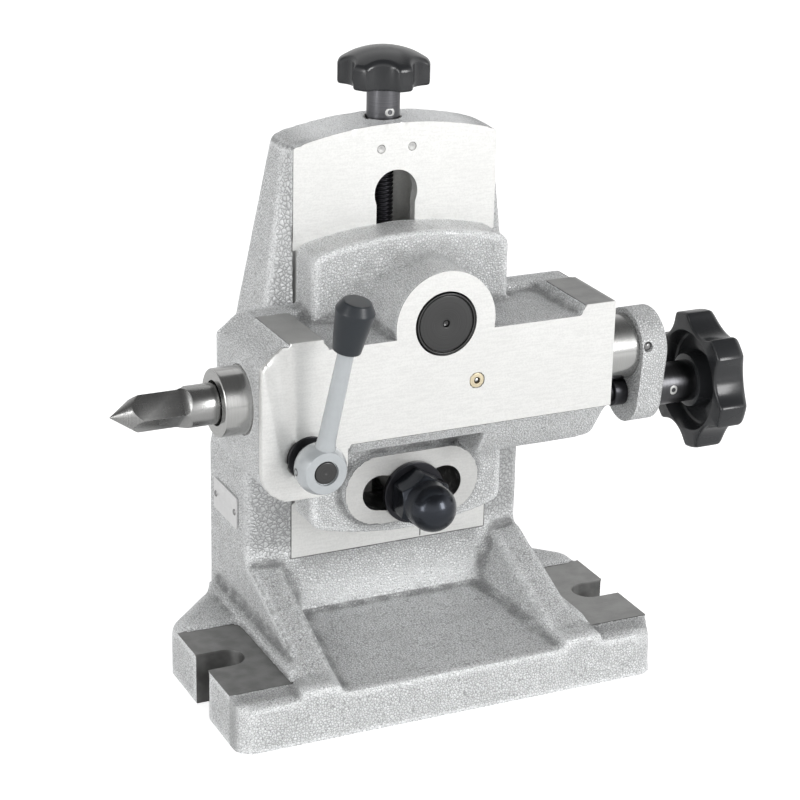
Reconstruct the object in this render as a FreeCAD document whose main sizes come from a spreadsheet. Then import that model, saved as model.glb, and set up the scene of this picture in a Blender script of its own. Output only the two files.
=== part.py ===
import FreeCAD, Part
import math
import os
import Sketcher

# Tailstock for a rotary table or dividing head, in millimetres.
# X runs along the quill, from the centre's point (-X) to the side knob (+X).
# Y runs from the front of the base to its back, and Z is up.
# The origin lies on the underside, midway between the two bolt slots, so the
# quill's axis stands over the line of the clamping bolts.

DRIVING_SIZES = (
    # base casting
    ("base_length", 220.0, "length of the base along the quill"),
    ("base_front", 48.0, "bolt slots to the front of the base"),
    ("base_back", 92.0, "bolt slots to the back of the base and column"),
    ("end_back", 45.0, "bolt slots to the back of each straight end face"),
    ("base_corner", 9.0, "radius of the upright corners at the front"),
    ("end_corner", 12.0, "radius of the upright corners between ends and diagonals"),
    ("shoulder_round", 6.5, "radius on the rough top edges behind the pads"),
    ("cast_height", 27.6, "height of the rough base beside the column"),
    ("pad_height", 26.0, "height of the milled bolt pads"),
    ("front_height", 22.5, "height of the front edge"),
    ("pad_front", 35.0, "bolt slots to the front of the milled pads"),
    ("pad_back", 33.0, "bolt slots to the back of the milled pads"),
    ("pad_corner", 7.0, "radius that the cutter left at the back of a pad"),
    ("slot_width", 17.0, "width of a bolt slot"),
    ("slot_depth", 21.0, "depth of a bolt slot, its round end included"),
    ("foot_half", 78.5, "half width of the foot along the column and ribs"),
    ("foot_height", 30.0, "height of the foot"),
    ("edge_round", 1.4, "radius on the cast edges"),
    # ribs and pocket floor
    ("rib_height", 53.5, "height of the ribs where they meet the column"),
    ("pocket_front_half", 58.0, "half width of the pocket floor at the front"),
    ("pocket_back_half", 47.6, "half width of the pocket floor at the back"),
    ("pocket_back_height", 28.0, "height of the pocket floor at the column"),
    ("rib_slope", 0.39, "outward lean of the ribs' inner walls"),
    ("apron_lean", 2.0, "how far the apron stands forward at the floor"),
    # column
    ("face_plane", 30.0, "bolt slots to the column's milled face"),
    ("face_half", 52.0, "half width of the milled face"),
    ("face_bottom", 57.0, "height of the milled face's lower edge"),
    ("column_half", 73.5, "half width of the column"),
    ("band_low", 6.0, "setback of the column's sides at the bottom"),
    ("band_high", 9.5, "setback of the column's sides at the top"),
    ("column_round", 9.0, "radius of the column's back corners"),
    ("taper_start", 100.0, "height where the column starts to taper"),
    ("column_top", 272.0, "height at which the top outline is measured"),
    ("top_half", 52.6, "half width of the column at that height"),
    ("top_back", 58.5, "bolt slots to the column's back at that height"),
    ("crown_height", 269.0, "height of the crown"),
    ("crown_radius", 188.0, "radius of the crown"),
    ("crown_round", 5.0, "radius where the crown meets the sides"),
    # vertical way in the column
    ("screw_plane", 46.2, "bolt slots to the elevating screw's axis"),
    ("way_radius", 15.0, "radius of the way that the slide block runs in"),
    ("way_margin", 14.0, "centre of the slot's lower end down to the way's bottom"),
    ("way_top", 248.0, "height of the way's top"),
    ("way_slot", 19.8, "width of the slot in the milled face"),
    ("lift_down", 12.0, "clamping bolt down to the centre of the slot's lower end"),
    ("keyhole_radius", 11.0, "radius of the hole that lets the bolt head in"),
    ("keyhole_height", 235.7, "height of that hole"),
    # fits
    ("running_fit", 0.05, "radial clearance of turning and sliding fits"),
    ("loose_fit", 0.2, "clearance of pieces that only stand beside each other"),
    # elevating screw
    ("screw_radius", 5.5, "radius of the elevating screw's thread"),
    ("screw_end", 154.0, "height of the elevating screw's lower end"),
    ("collar_radius", 8.6, "radius of the screw's collar"),
    ("collar_bottom", 249.0, "height of the collar's lower face"),
    ("collar_top", 262.0, "height of the collar's upper face"),
    ("pin_radius", 2.15, "radius of the retaining pins"),
    ("pin_height", 257.2, "height of the retaining pins"),
    ("pin_half", 7.9, "half the distance between the retaining pins"),
    ("pin_length", 28.0, "length of a retaining pin"),
    ("stem_radius", 5.0, "radius of both screws' stems inside the knob bushes"),
    ("cross_pin_radius", 2.5, "radius of the roll pins through both stems"),
    # top knob
    ("top_bush_radius", 7.9, "radius of the top knob's steel bush"),
    ("top_knob_radius", 21.7, "radius of the top knob over its lobes"),
    ("top_knob_bottom", 284.3, "height of the top knob's underside"),
    ("top_knob_rim", 11.2, "height of the top knob's rim"),
    ("top_knob_dome", 6.5, "height of the dome above the rim"),
    ("top_pin_height", 272.0, "height of the roll pin in the top bush"),
    # knobs in general
    ("knob_seat", 5.0, "depth to which a bush sits in its knob"),
    ("lobe_round", 2.0, "radius on the upright edges of the lobes"),
    # slide block
    ("pivot_rise", 33.4, "quill axis up to the pivot's axis"),
    ("block_half", 13.0, "half the height of the slide block"),
    ("neck_radius", 9.7, "radius of the block's neck in the column's slot"),
    # pivot stud
    ("pivot_radius", 15.4, "radius of the pivot stud in the head"),
    ("pivot_proud", 0.4, "how far the pivot stands out of the head"),
    ("pivot_rim", 1.2, "width of the raised ring round the pivot's face"),
    ("tail_radius", 8.0, "radius of the stud's tail and of the clamping bolt"),
    ("tail_length", 8.3, "length of the stud's tail in the block"),
    # head casting
    ("head_front", 26.8, "quill axis to the head's front face"),
    ("head_left", 90.4, "pivot to the head's left end"),
    ("head_right", 88.6, "pivot to the head's right end"),
    ("head_rise", 28.5, "quill axis up to the rough top between the strips"),
    ("strip_rise", 33.5, "quill axis up to the milled strips at both ends"),
    ("left_strip_out", 76.8, "pivot to the outer edge of the left strip"),
    ("left_strip_in", 61.0, "pivot to the inner edge of the left strip"),
    ("right_strip_in", 72.9, "pivot to the inner edge of the right strip"),
    ("strip_slope", 3.5, "length of the slope beside a strip"),
    ("shoulder_rise", 22.5, "quill axis up to the left end's upper corner"),
    ("beam_drop", 25.5, "quill axis down to the beam's underside"),
    ("face_drop", 18.6, "quill axis down to the front face's lower edge"),
    ("bulge_drop", 40.5, "quill axis down to the feed nut housing's underside"),
    ("bulge_left", 24.0, "pivot to the left side of that housing"),
    ("bulge_front", 12.0, "quill axis to the housing's lower front corner"),
    ("bulge_round", 7.0, "radius of that corner"),
    ("lug_drop", 42.5, "quill axis down to the clamp lug's underside"),
    ("lug_inner", 48.0, "pivot to the clamp lug's inner side"),
    ("lug_round", 16.0, "radius of the clamp lug's lower corners"),
    ("boss_radius", 25.0, "radius of the boss round the pivot"),
    ("blend_round", 8.0, "radius of the blend round the boss"),
    ("plate_front", 9.5, "quill axis to the front of the head's back plate"),
    ("plate_half", 50.5, "half width of the back plate"),
    ("plate_rise", 66.5, "quill axis up to the back plate's crown"),
    ("plate_top_radius", 186.0, "radius of the back plate's crown"),
    ("plate_drop", 83.5, "quill axis down to the back plate's lowest point"),
    ("plate_bottom_radius", 166.0, "radius of the back plate's lower edge"),
    ("plate_round", 7.0, "radius of the back plate's corners"),
    ("oval_front", 5.1, "quill axis to the face of the oval pad"),
    ("oval_drop", 58.5, "quill axis down to the oval pad's centre"),
    ("oval_radius", 17.65, "radius of the oval pad's ends"),
    ("oval_half", 17.55, "half the distance between the oval pad's end centres"),
    ("clamp_drop", 94.9, "pivot to the clamping bolt below it"),
    ("arc_slot_half", 9.0, "half the width of the arc slot"),
    ("arc_slot_reach", 17.0, "pivot to the centre of the slot's end, along X"),
    ("scoop_radius", 12.0, "radius of the scoop in the front face"),
    ("scoop_depth", 3.0, "depth of that scoop at its upper end"),
    ("scoop_rise", 44.5, "quill axis up to where the scoop starts"),
    ("scoop_drop", 39.5, "quill axis down to where it has run out"),
    ("scoop_high_place", 84.7, "pivot to the scoop's middle at its upper end"),
    ("scoop_low_place", 75.0, "pivot to the scoop's middle at its lower end"),
    ("strip_back", 14.0, "quill axis to the back of the milled strips"),
    ("margin_front", 17.0, "quill axis to the rough margin behind the hollows"),
    ("margin_rise", 31.9, "quill axis up to that margin"),
    # clamping nut
    ("washer_radius", 15.5, "radius of the washer"),
    ("washer_thickness", 2.8, "thickness of the washer"),
    ("nut_flats", 24.0, "width of the dome nut across its flats"),
    ("hex_height", 13.3, "height of the dome nut's hexagon"),
    ("dome_radius", 11.6, "radius of the dome"),
    ("dome_length", 17.7, "length of the dome beyond the hexagon"),
    ("bolt_reach", 16.0, "how far the clamping bolt enters the nut"),
    ("bolt_head_radius", 10.75, "radius of the clamping bolt's head"),
    ("bolt_head_length", 9.0, "length of the clamping bolt's head"),
    ("bolt_head_front", 36.2, "quill axis to the front of that head"),
    # quill
    ("quill_height", 155.5, "height of the quill's axis"),
    ("quill_radius", 15.9, "radius of the quill"),
    ("quill_left", 103.0, "pivot to the quill's left end"),
    ("spigot_radius", 10.0, "radius of the quill's spigot in the bracket"),
    ("mouth_radius", 10.5, "radius of the recess in the quill's mouth"),
    ("mouth_depth", 4.0, "depth of that recess"),
    ("socket_radius", 8.9, "radius of the taper socket's mouth"),
    ("socket_end", 7.3, "radius of the taper socket's end"),
    ("socket_length", 64.0, "length of the taper socket"),
    # centre
    ("centre_radius", 9.6, "radius of the centre's collar"),
    ("centre_shoulder", 114.8, "pivot to the end of the centre's flats"),
    ("centre_tip", 152.5, "pivot to the centre's point"),
    ("point_length", 14.2, "length of the point's cone"),
    ("flat_distance", 6.45, "axis to each of the four flats"),
    ("flat_runout", 7.0, "radius in which each flat runs out at its end"),
    # bracket
    ("bracket_left", 110.2, "pivot to the bracket's left face"),
    ("bracket_width", 14.0, "thickness of the bracket"),
    ("bracket_top_radius", 18.6, "radius of the bracket's upper end"),
    ("bracket_low_radius", 15.6, "radius of the bracket's lower end"),
    ("feed_drop", 23.3, "quill axis down to the feed screw's axis"),
    ("set_screw_radius", 2.5, "radius of the bracket's set screw"),
    ("set_screw_place", 3.0, "bracket's left face to the set screw"),
    ("set_screw_rise", 4.4, "quill axis up to the set screw"),
    # feed screw
    ("feed_radius", 5.5, "radius of the feed screw"),
    ("feed_end", 45.0, "pivot to the feed screw's inner end"),
    ("feed_hole_end", 26.0, "pivot to the bottom of the feed screw's hole"),
    ("thrust_radius", 7.2, "radius of the thrust collar"),
    ("thrust_width", 7.0, "width of the thrust collar"),
    ("side_bush_radius", 10.3, "radius of the side knob's steel bush"),
    ("side_knob_left", 147.0, "pivot to the side knob's back"),
    ("side_knob_radius", 34.2, "radius of the side knob over its lobes"),
    ("side_knob_rim", 15.5, "width of the side knob's rim"),
    ("side_knob_dome", 5.5, "height of the side knob's dome"),
    ("side_pin_place", 134.0, "pivot to the roll pin in the side bush"),
    # clamp lever
    ("clamp_place", 67.3, "pivot to the clamp's axis, to the left"),
    ("lever_drop", 22.2, "quill axis down to the clamp's axis"),
    ("cotter_radius", 10.45, "radius of the two clamp cotters"),
    ("cotter_gap", 1.5, "half the gap between the cotters"),
    ("cotter_length", 24.5, "quill axis to the back of the rear cotter"),
    ("cotter_proud", 0.5, "how far the front cotter stands out of the head"),
    ("clamp_bolt_radius", 5.8, "radius of the clamp bolt"),
    ("ball_radius", 12.0, "radius of the lever's ball"),
    ("ball_place", 39.8, "quill axis to the middle of the ball"),
    ("ball_flat", 6.9, "middle of the ball to its front flat"),
    ("arm_radius", 4.3, "radius of the lever's arm at the ball"),
    ("arm_end_radius", 3.7, "radius of the lever's arm in the grip"),
    ("arm_length", 72.0, "middle of the ball to the arm's end"),
    ("grip_start", 60.0, "middle of the ball to the grip's lower end"),
    ("grip_end", 84.2, "middle of the ball to the grip's upper end"),
    ("grip_low_radius", 6.6, "radius of the grip's lower end"),
    ("grip_high_radius", 9.0, "radius of the grip's upper end"),
    ("grip_bevel", 2.6, "bevel on the grip's upper end"),
    ("grip_bevel_length", 4.4, "length of that bevel along the grip"),
    ("lever_lean", 10.2, "lean of the lever away from the head, in degrees"),
    ("lever_swing", 7.1, "swing of the lever towards the knob, in degrees"),
    # oiler
    ("oiler_place", 16.5, "pivot to the oiler, to the right"),
    ("oiler_rise", 3.8, "quill axis up to the oiler"),
    ("oiler_radius", 3.65, "radius of the oiler's brass cup"),
    ("oiler_length", 6.5, "length of the oiler's brass cup"),
    ("oiler_ball", 1.5, "radius of the oiler's ball"),
    ("oiler_hole", 1.2, "radius of the oil hole"),
    # plate
    ("plate_length", 31.0, "length of the bare plate on the column's side"),
    ("plate_width", 16.3, "width of that plate"),
    ("plate_thickness", 0.8, "thickness of that plate"),
    ("plate_middle", 62.0, "bolt slots to the middle of that plate"),
    ("plate_low_edge", 69.0, "height of that plate's lower edge"),
    ("rivet_radius", 1.3, "radius of the rivets in that plate"),
    ("rivet_half", 12.6, "half the distance between the two rivets"),
)

# A little more than any cut needs to run out of the piece it is made in.
OVERSHOOT = 1.0
LOBES = 6
# The knobs' lobes and the centre's flats, as turned in the photograph, in degrees.
TOP_KNOB_TURN = 4.6
SIDE_KNOB_TURN = 16.0
FLATS_TURN = 47.0


doc = FreeCAD.newDocument("tailstock")
sheet = doc.addObject("Spreadsheet::Sheet", "sizes")


class Size:
    """A number together with the sheet expression that gives it."""

    def __init__(self, value, text):
        self.value = float(value)
        self.text = text

    def __float__(self):
        return self.value

    def __add__(self, other):
        return Size(self.value + number(other), f"({self.text} + {words(other)})")

    def __radd__(self, other):
        return Size(number(other) + self.value, f"({words(other)} + {self.text})")

    def __sub__(self, other):
        return Size(self.value - number(other), f"({self.text} - {words(other)})")

    def __rsub__(self, other):
        return Size(number(other) - self.value, f"({words(other)} - {self.text})")

    def __mul__(self, other):
        return Size(self.value * number(other), f"({self.text} * {words(other)})")

    def __rmul__(self, other):
        return Size(number(other) * self.value, f"({words(other)} * {self.text})")

    def __truediv__(self, other):
        return Size(self.value / number(other), f"({self.text} / {words(other)})")

    def __neg__(self):
        return Size(-self.value, f"(0 - {self.text})")


def number(item):
    """The plain number of a size or of a number."""
    return item.value if isinstance(item, Size) else float(item)


def words(item):
    """The sheet expression of a size or of a number."""
    return item.text if isinstance(item, Size) else f"({float(item)!r})"


def root(item):
    """Square root of a size."""
    return Size(math.sqrt(item.value), f"sqrt({item.text})")


def sagged(radius, half):
    """Distance from an arc's centre to the chord that is half a width out."""
    return root(radius * radius - half * half)


class Sizes:
    """The driving sizes, each a cell of the sheet with its own alias."""

    def __init__(self, table):
        self.cells = {}
        for row, (name, value, meaning) in enumerate(table, start=1):
            sheet.set(f"A{row}", meaning)
            sheet.set(f"B{row}", str(value))
            sheet.setAlias(f"B{row}", name)
            self.cells[name] = Size(value, f"sizes.{name}")

    def __getattr__(self, name):
        return self.cells[name]

    def follow(self, table):
        """Name the sizes that are worked out from others."""
        for name, size in table:
            self.cells[name] = size


s = Sizes(DRIVING_SIZES)
# The whole head keeps its place beside the quill's axis, and the pivot goes with it.
s.follow((
    ("pivot_height", s.quill_height + s.pivot_rise),
    ("head_top", s.quill_height + s.head_rise),
    ("strip_height", s.quill_height + s.strip_rise),
    ("margin_height", s.quill_height + s.margin_rise),
    ("shoulder_height", s.quill_height + s.shoulder_rise),
    ("plate_top", s.quill_height + s.plate_rise),
    ("oiler_height", s.quill_height + s.oiler_rise),
    ("scoop_high", s.quill_height + s.scoop_rise),
    ("scoop_low", s.quill_height - s.scoop_drop),
    ("face_edge", s.quill_height - s.face_drop),
    ("clamp_height", s.quill_height - s.lever_drop),
    ("beam_bottom", s.quill_height - s.beam_drop),
    ("bulge_bottom", s.quill_height - s.bulge_drop),
    ("lug_bottom", s.quill_height - s.lug_drop),
    ("oval_height", s.quill_height - s.oval_drop),
    ("plate_bottom", s.quill_height - s.plate_drop)))
# The column's way reaches as far below the clamping bolt as the head can be lowered.
s.follow((("bolt_height", s.pivot_height - s.clamp_drop),))
s.follow((("way_slot_end", s.bolt_height - s.lift_down),))
s.follow((("way_floor", s.way_slot_end - s.way_margin),))
doc.recompute()


def bind(target, path, value):
    """Give a property its value, with the expression where it has one."""
    if isinstance(value, Size):
        target.setExpression(path, value.text)


def move_to(target, x, y, z):
    """Place an object, each coordinate bound to the sheet."""
    target.Placement.Base = FreeCAD.Vector(number(x), number(y), number(z))
    bind(target, "Placement.Base.x", x)
    bind(target, "Placement.Base.y", y)
    bind(target, "Placement.Base.z", z)


def hold_point(sketch, geometry, end, x, y):
    """Fix one point of a sketch at two bound coordinates."""
    for kind, axis, value in (("DistanceX", -2, x), ("DistanceY", -1, y)):
        if not isinstance(value, Size) and float(value) == 0.0:
            sketch.addConstraint(Sketcher.Constraint("PointOnObject", geometry, end, axis))
            continue
        index = sketch.addConstraint(
            Sketcher.Constraint(kind, -1, 1, geometry, end, number(value)))
        bind(sketch, f"Constraints[{index}]", value)


def hold_radius(sketch, geometry, radius):
    """Fix the radius of a circle or an arc."""
    index = sketch.addConstraint(Sketcher.Constraint("Radius", geometry, number(radius)))
    bind(sketch, f"Constraints[{index}]", radius)


def flat(x, y):
    """A point of a sketch."""
    return FreeCAD.Vector(number(x), number(y), 0)


def arc_between(centre, radius, first, last, turning_left):
    """An arc round a centre and the numbers of its first and last ends."""
    if not turning_left:
        first, last = last, first
    start = math.atan2(first.y - centre.y, first.x - centre.x)
    stop = math.atan2(last.y - centre.y, last.x - centre.x)
    if stop <= start:
        stop += 2 * math.pi
    circle = Part.Circle(centre, FreeCAD.Vector(0, 0, 1), radius)
    arc = Part.ArcOfCircle(circle, start, stop)
    return arc, (1, 2) if turning_left else (2, 1)


class Corner:
    """A corner of an outline, its rounding, and the bow of the edge before it."""

    def __init__(self, x, y, rounding=None, bow=None, hollow=None):
        self.x = x
        self.y = y
        self.point = flat(x, y)
        self.rounding = rounding
        self.bow = bow
        self.hollow = hollow


class Outline:
    """A closed outline drawn anticlockwise through its corners."""

    def __init__(self, *corners):
        self.corners = [c if isinstance(c, Corner) else Corner(*c) for c in corners]

    def tangent_points(self, index):
        """Where a rounded corner starts and ends, its centre and its turn."""
        corner = self.corners[index]
        before = self.corners[index - 1].point - corner.point
        after = self.corners[(index + 1) % len(self.corners)].point - corner.point
        before.normalize()
        after.normalize()
        half = before.getAngle(after) / 2
        radius = number(corner.rounding)
        reach = radius / math.tan(half)
        middle = before + after
        middle.normalize()
        centre = corner.point + middle * (radius / math.sin(half))
        turning_left = before.cross(after).z < 0
        return corner.point + before * reach, corner.point + after * reach, centre, turning_left

    def draw(self, sketch):
        corners = self.corners
        total = len(corners)
        starts = [c.point for c in corners]
        ends = [c.point for c in corners]
        rounds = {}
        for index, corner in enumerate(corners):
            if corner.rounding is not None:
                rounds[index] = self.tangent_points(index)
                ends[index], starts[index] = rounds[index][:2]
        edges = []
        for index in range(total):
            following = corners[(index + 1) % total]
            first = starts[index]
            last = ends[(index + 1) % total]
            radius = following.bow or following.hollow
            if radius is None:
                edges.append((sketch.addGeometry(Part.LineSegment(first, last), False), 1, 2))
                continue
            chord = last - first
            side = FreeCAD.Vector(-chord.y, chord.x, 0)
            side.normalize()
            reach = math.sqrt(number(radius) ** 2 - (chord.Length / 2) ** 2)
            left = following.bow is not None
            centre = (first + last) * 0.5 + side * (reach if left else -reach)
            arc, (head, tail) = arc_between(centre, number(radius), first, last, left)
            edge = sketch.addGeometry(arc, False)
            hold_radius(sketch, edge, radius)
            edges.append((edge, head, tail))
        for index, corner in enumerate(corners):
            edge, head, _ = edges[index]
            previous, _, tail = edges[index - 1]
            if index not in rounds:
                sketch.addConstraint(Sketcher.Constraint("Coincident", previous, tail, edge, head))
                hold_point(sketch, edge, head, corner.x, corner.y)
                continue
            first, last, centre, left = rounds[index]
            arc, (arc_head, arc_tail) = arc_between(
                centre, number(corner.rounding), first, last, left)
            bend = sketch.addGeometry(arc, False)
            mark = sketch.addGeometry(Part.Point(corner.point), True)
            sketch.addConstraint([
                Sketcher.Constraint("Tangent", previous, tail, bend, arc_head),
                Sketcher.Constraint("Tangent", bend, arc_tail, edge, head),
                Sketcher.Constraint("PointOnObject", mark, 1, previous),
                Sketcher.Constraint("PointOnObject", mark, 1, edge),
            ])
            hold_radius(sketch, bend, corner.rounding)
            hold_point(sketch, mark, 1, corner.x, corner.y)


class Circle:
    """A circle at a bound place."""

    def __init__(self, x, y, radius):
        self.x = x
        self.y = y
        self.radius = radius

    def draw(self, sketch):
        circle = Part.Circle(flat(self.x, self.y), FreeCAD.Vector(0, 0, 1), number(self.radius))
        index = sketch.addGeometry(circle, False)
        hold_radius(sketch, index, self.radius)
        hold_point(sketch, index, 3, self.x, self.y)


class Slot:
    """A slot with round ends between two centres on one level or one upright."""

    def __init__(self, first, last, radius):
        self.first = first
        self.last = last
        self.radius = radius

    def draw(self, sketch):
        start = flat(*self.first)
        stop = flat(*self.last)
        along = stop - start
        along.normalize()
        side = FreeCAD.Vector(-along.y, along.x, 0) * number(self.radius)
        low, _ = arc_between(start, number(self.radius), start + side, start - side, True)
        high, _ = arc_between(stop, number(self.radius), stop - side, stop + side, True)
        first = sketch.addGeometry(low, False)
        last = sketch.addGeometry(high, False)
        lower = sketch.addGeometry(Part.LineSegment(start - side, stop - side), False)
        upper = sketch.addGeometry(Part.LineSegment(stop + side, start + side), False)
        sketch.addConstraint([
            Sketcher.Constraint("Tangent", first, 2, lower, 1),
            Sketcher.Constraint("Tangent", lower, 2, last, 1),
            Sketcher.Constraint("Tangent", last, 2, upper, 1),
            Sketcher.Constraint("Tangent", upper, 2, first, 1),
            Sketcher.Constraint("Equal", first, last),
        ])
        hold_radius(sketch, first, self.radius)
        hold_point(sketch, first, 3, *self.first)
        hold_point(sketch, last, 3, *self.last)


class ArcSlot:
    """A slot that follows an arc below its centre, with round ends."""

    def __init__(self, centre_height, drop, reach, half):
        self.centre_height = centre_height
        self.drop = drop
        self.reach = reach
        self.half = half

    def draw(self, sketch):
        centre = flat(0, self.centre_height)
        drop = number(self.drop)
        half = number(self.half)
        swing = math.asin(number(self.reach) / drop)
        left = FreeCAD.Vector(-math.sin(swing), -math.cos(swing), 0)
        right = FreeCAD.Vector(math.sin(swing), -math.cos(swing), 0)
        outer, _ = arc_between(
            centre, drop + half, centre + left * (drop + half), centre + right * (drop + half), True)
        inner, _ = arc_between(
            centre, drop - half, centre + right * (drop - half), centre + left * (drop - half), False)
        right_end, _ = arc_between(
            centre + right * drop, half,
            centre + right * (drop + half), centre + right * (drop - half), True)
        left_end, _ = arc_between(
            centre + left * drop, half,
            centre + left * (drop - half), centre + left * (drop + half), True)
        outer, inner, right_end, left_end = [
            sketch.addGeometry(arc, False) for arc in (outer, inner, right_end, left_end)]
        sketch.addConstraint([
            Sketcher.Constraint("Tangent", outer, 2, right_end, 1),
            Sketcher.Constraint("Tangent", right_end, 2, inner, 2),
            Sketcher.Constraint("Tangent", inner, 1, left_end, 1),
            Sketcher.Constraint("Tangent", left_end, 2, outer, 1),
        ])
        for arc, radius in ((outer, self.drop + self.half), (inner, self.drop - self.half)):
            hold_radius(sketch, arc, radius)
            hold_point(sketch, arc, 3, 0, self.centre_height)
        for arc, reach in ((right_end, self.reach), (left_end, -self.reach)):
            index = sketch.addConstraint(
                Sketcher.Constraint("DistanceX", -1, 1, arc, 3, number(reach)))
            bind(sketch, f"Constraints[{index}]", reach)


class Piece:
    """One solid piece: a body with its own sketches and features."""

    # How a sketch lies on each origin plane: X-Y, X-Z (seen from the front) or Y-Z.
    PLANES = {"XY": "XY_Plane", "XZ": "XZ_Plane", "YZ": "YZ_Plane"}

    def __init__(self, label, x=0, y=0, z=0):
        self.label = label
        self.body = doc.addObject("PartDesign::Body", label)
        self.body.Label = label
        self.count = 0
        move_to(self.body, x, y, z)

    def feature(self, kind, what):
        self.count += 1
        return self.body.newObject(kind, f"{self.label}_{what}_{self.count}")

    def sketch(self, plane, level, shapes):
        """A sketch on an origin plane, moved to a level along its axis."""
        role = self.PLANES[plane]
        support = [f for f in self.body.Origin.OriginFeatures if f.Role == role][0]
        sketch = self.feature("Sketcher::SketchObject", "sketch")
        sketch.AttachmentSupport = (support, [""])
        sketch.MapMode = "FlatFace"
        # The X-Z plane looks along -Y, so its offset counts the other way.
        offset = -1 * level if plane == "XZ" else level
        sketch.AttachmentOffset.Base = FreeCAD.Vector(0, 0, number(offset))
        bind(sketch, "AttachmentOffset.Base.z", offset)
        for shape in shapes:
            shape.draw(sketch)
        return sketch

    def finish(self, feature):
        self.body.Tip = feature
        return feature

    def pad(self, plane, start, stop, *shapes):
        """Material from one level to a higher one."""
        pad = self.feature("PartDesign::Pad", "pad")
        pad.Profile = self.sketch(plane, start, shapes)
        pad.Length = number(stop) - number(start)
        bind(pad, "Length", stop - start if isinstance(stop, Size) or isinstance(start, Size) else 0)
        pad.Reversed = plane == "XZ"
        return self.finish(pad)

    def cut(self, plane, start, stop, *shapes):
        """A cut from one level to a higher one."""
        cut = self.feature("PartDesign::Pocket", "cut")
        cut.Profile = self.sketch(plane, start, shapes)
        cut.Length = number(stop) - number(start)
        bind(cut, "Length", stop - start if isinstance(stop, Size) or isinstance(start, Size) else 0)
        cut.Reversed = plane != "XZ"
        return self.finish(cut)

    def revolved(self, kind, plane, axis, shapes):
        turned = self.feature(kind, "turned")
        sketch = self.sketch(plane, 0, shapes)
        turned.Profile = sketch
        turned.ReferenceAxis = (sketch, [axis])
        turned.Angle = 360
        return self.finish(turned)

    def turn(self, plane, axis, *shapes):
        """Material turned about the sketch's H_Axis or V_Axis."""
        return self.revolved("PartDesign::Revolution", plane, axis, shapes)

    def groove(self, plane, axis, *shapes):
        """A cut turned about the sketch's H_Axis or V_Axis."""
        return self.revolved("PartDesign::Groove", plane, axis, shapes)

    def loft(self, kind, plane, first, last):
        """A ruled loft between two outlines at two levels."""
        loft = self.feature(kind, "loft")
        loft.Profile = self.sketch(plane, first[0], [first[1]])
        loft.Sections = [self.sketch(plane, last[0], [last[1]])]
        loft.Ruled = True
        return self.finish(loft)

    def round_copies(self, original, total):
        """Copies of a cut in a circle about its own sketch's normal at the origin."""
        pattern = self.feature("PartDesign::PolarPattern", "pattern")
        pattern.Originals = [original]
        pattern.Axis = (original.Profile[0], ["N_Axis"])
        pattern.Angle = 360
        pattern.Occurrences = total
        return self.finish(pattern)

    def soften(self, kind, size, wanted):
        """A fillet or chamfer on the edges that a test picks."""
        doc.recompute()
        tip = self.body.Tip
        names = [f"Edge{n}" for n, edge in enumerate(tip.Shape.Edges, start=1) if wanted(edge)]
        if not names:
            raise RuntimeError(f"{self.label}: no edge to soften")
        soft = self.feature(f"PartDesign::{kind}", kind.lower())
        soft.Base = (tip, names)
        path = "Radius" if kind == "Fillet" else "Size"
        setattr(soft, path, number(size))
        bind(soft, path, size)
        return self.finish(soft)


def along(edge, axis):
    """Whether a straight edge runs along an axis."""
    if edge.Degenerated or not isinstance(edge.Curve, Part.Line):
        return False
    return abs(abs(getattr(edge.Curve.Direction, axis)) - 1) < 1e-6


def near(value, wanted, slack=0.05):
    return abs(value - number(wanted)) < slack


def middle(edge):
    """The point halfway along an edge."""
    first, last = edge.ParameterRange
    return edge.valueAt((first + last) / 2)


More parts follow.
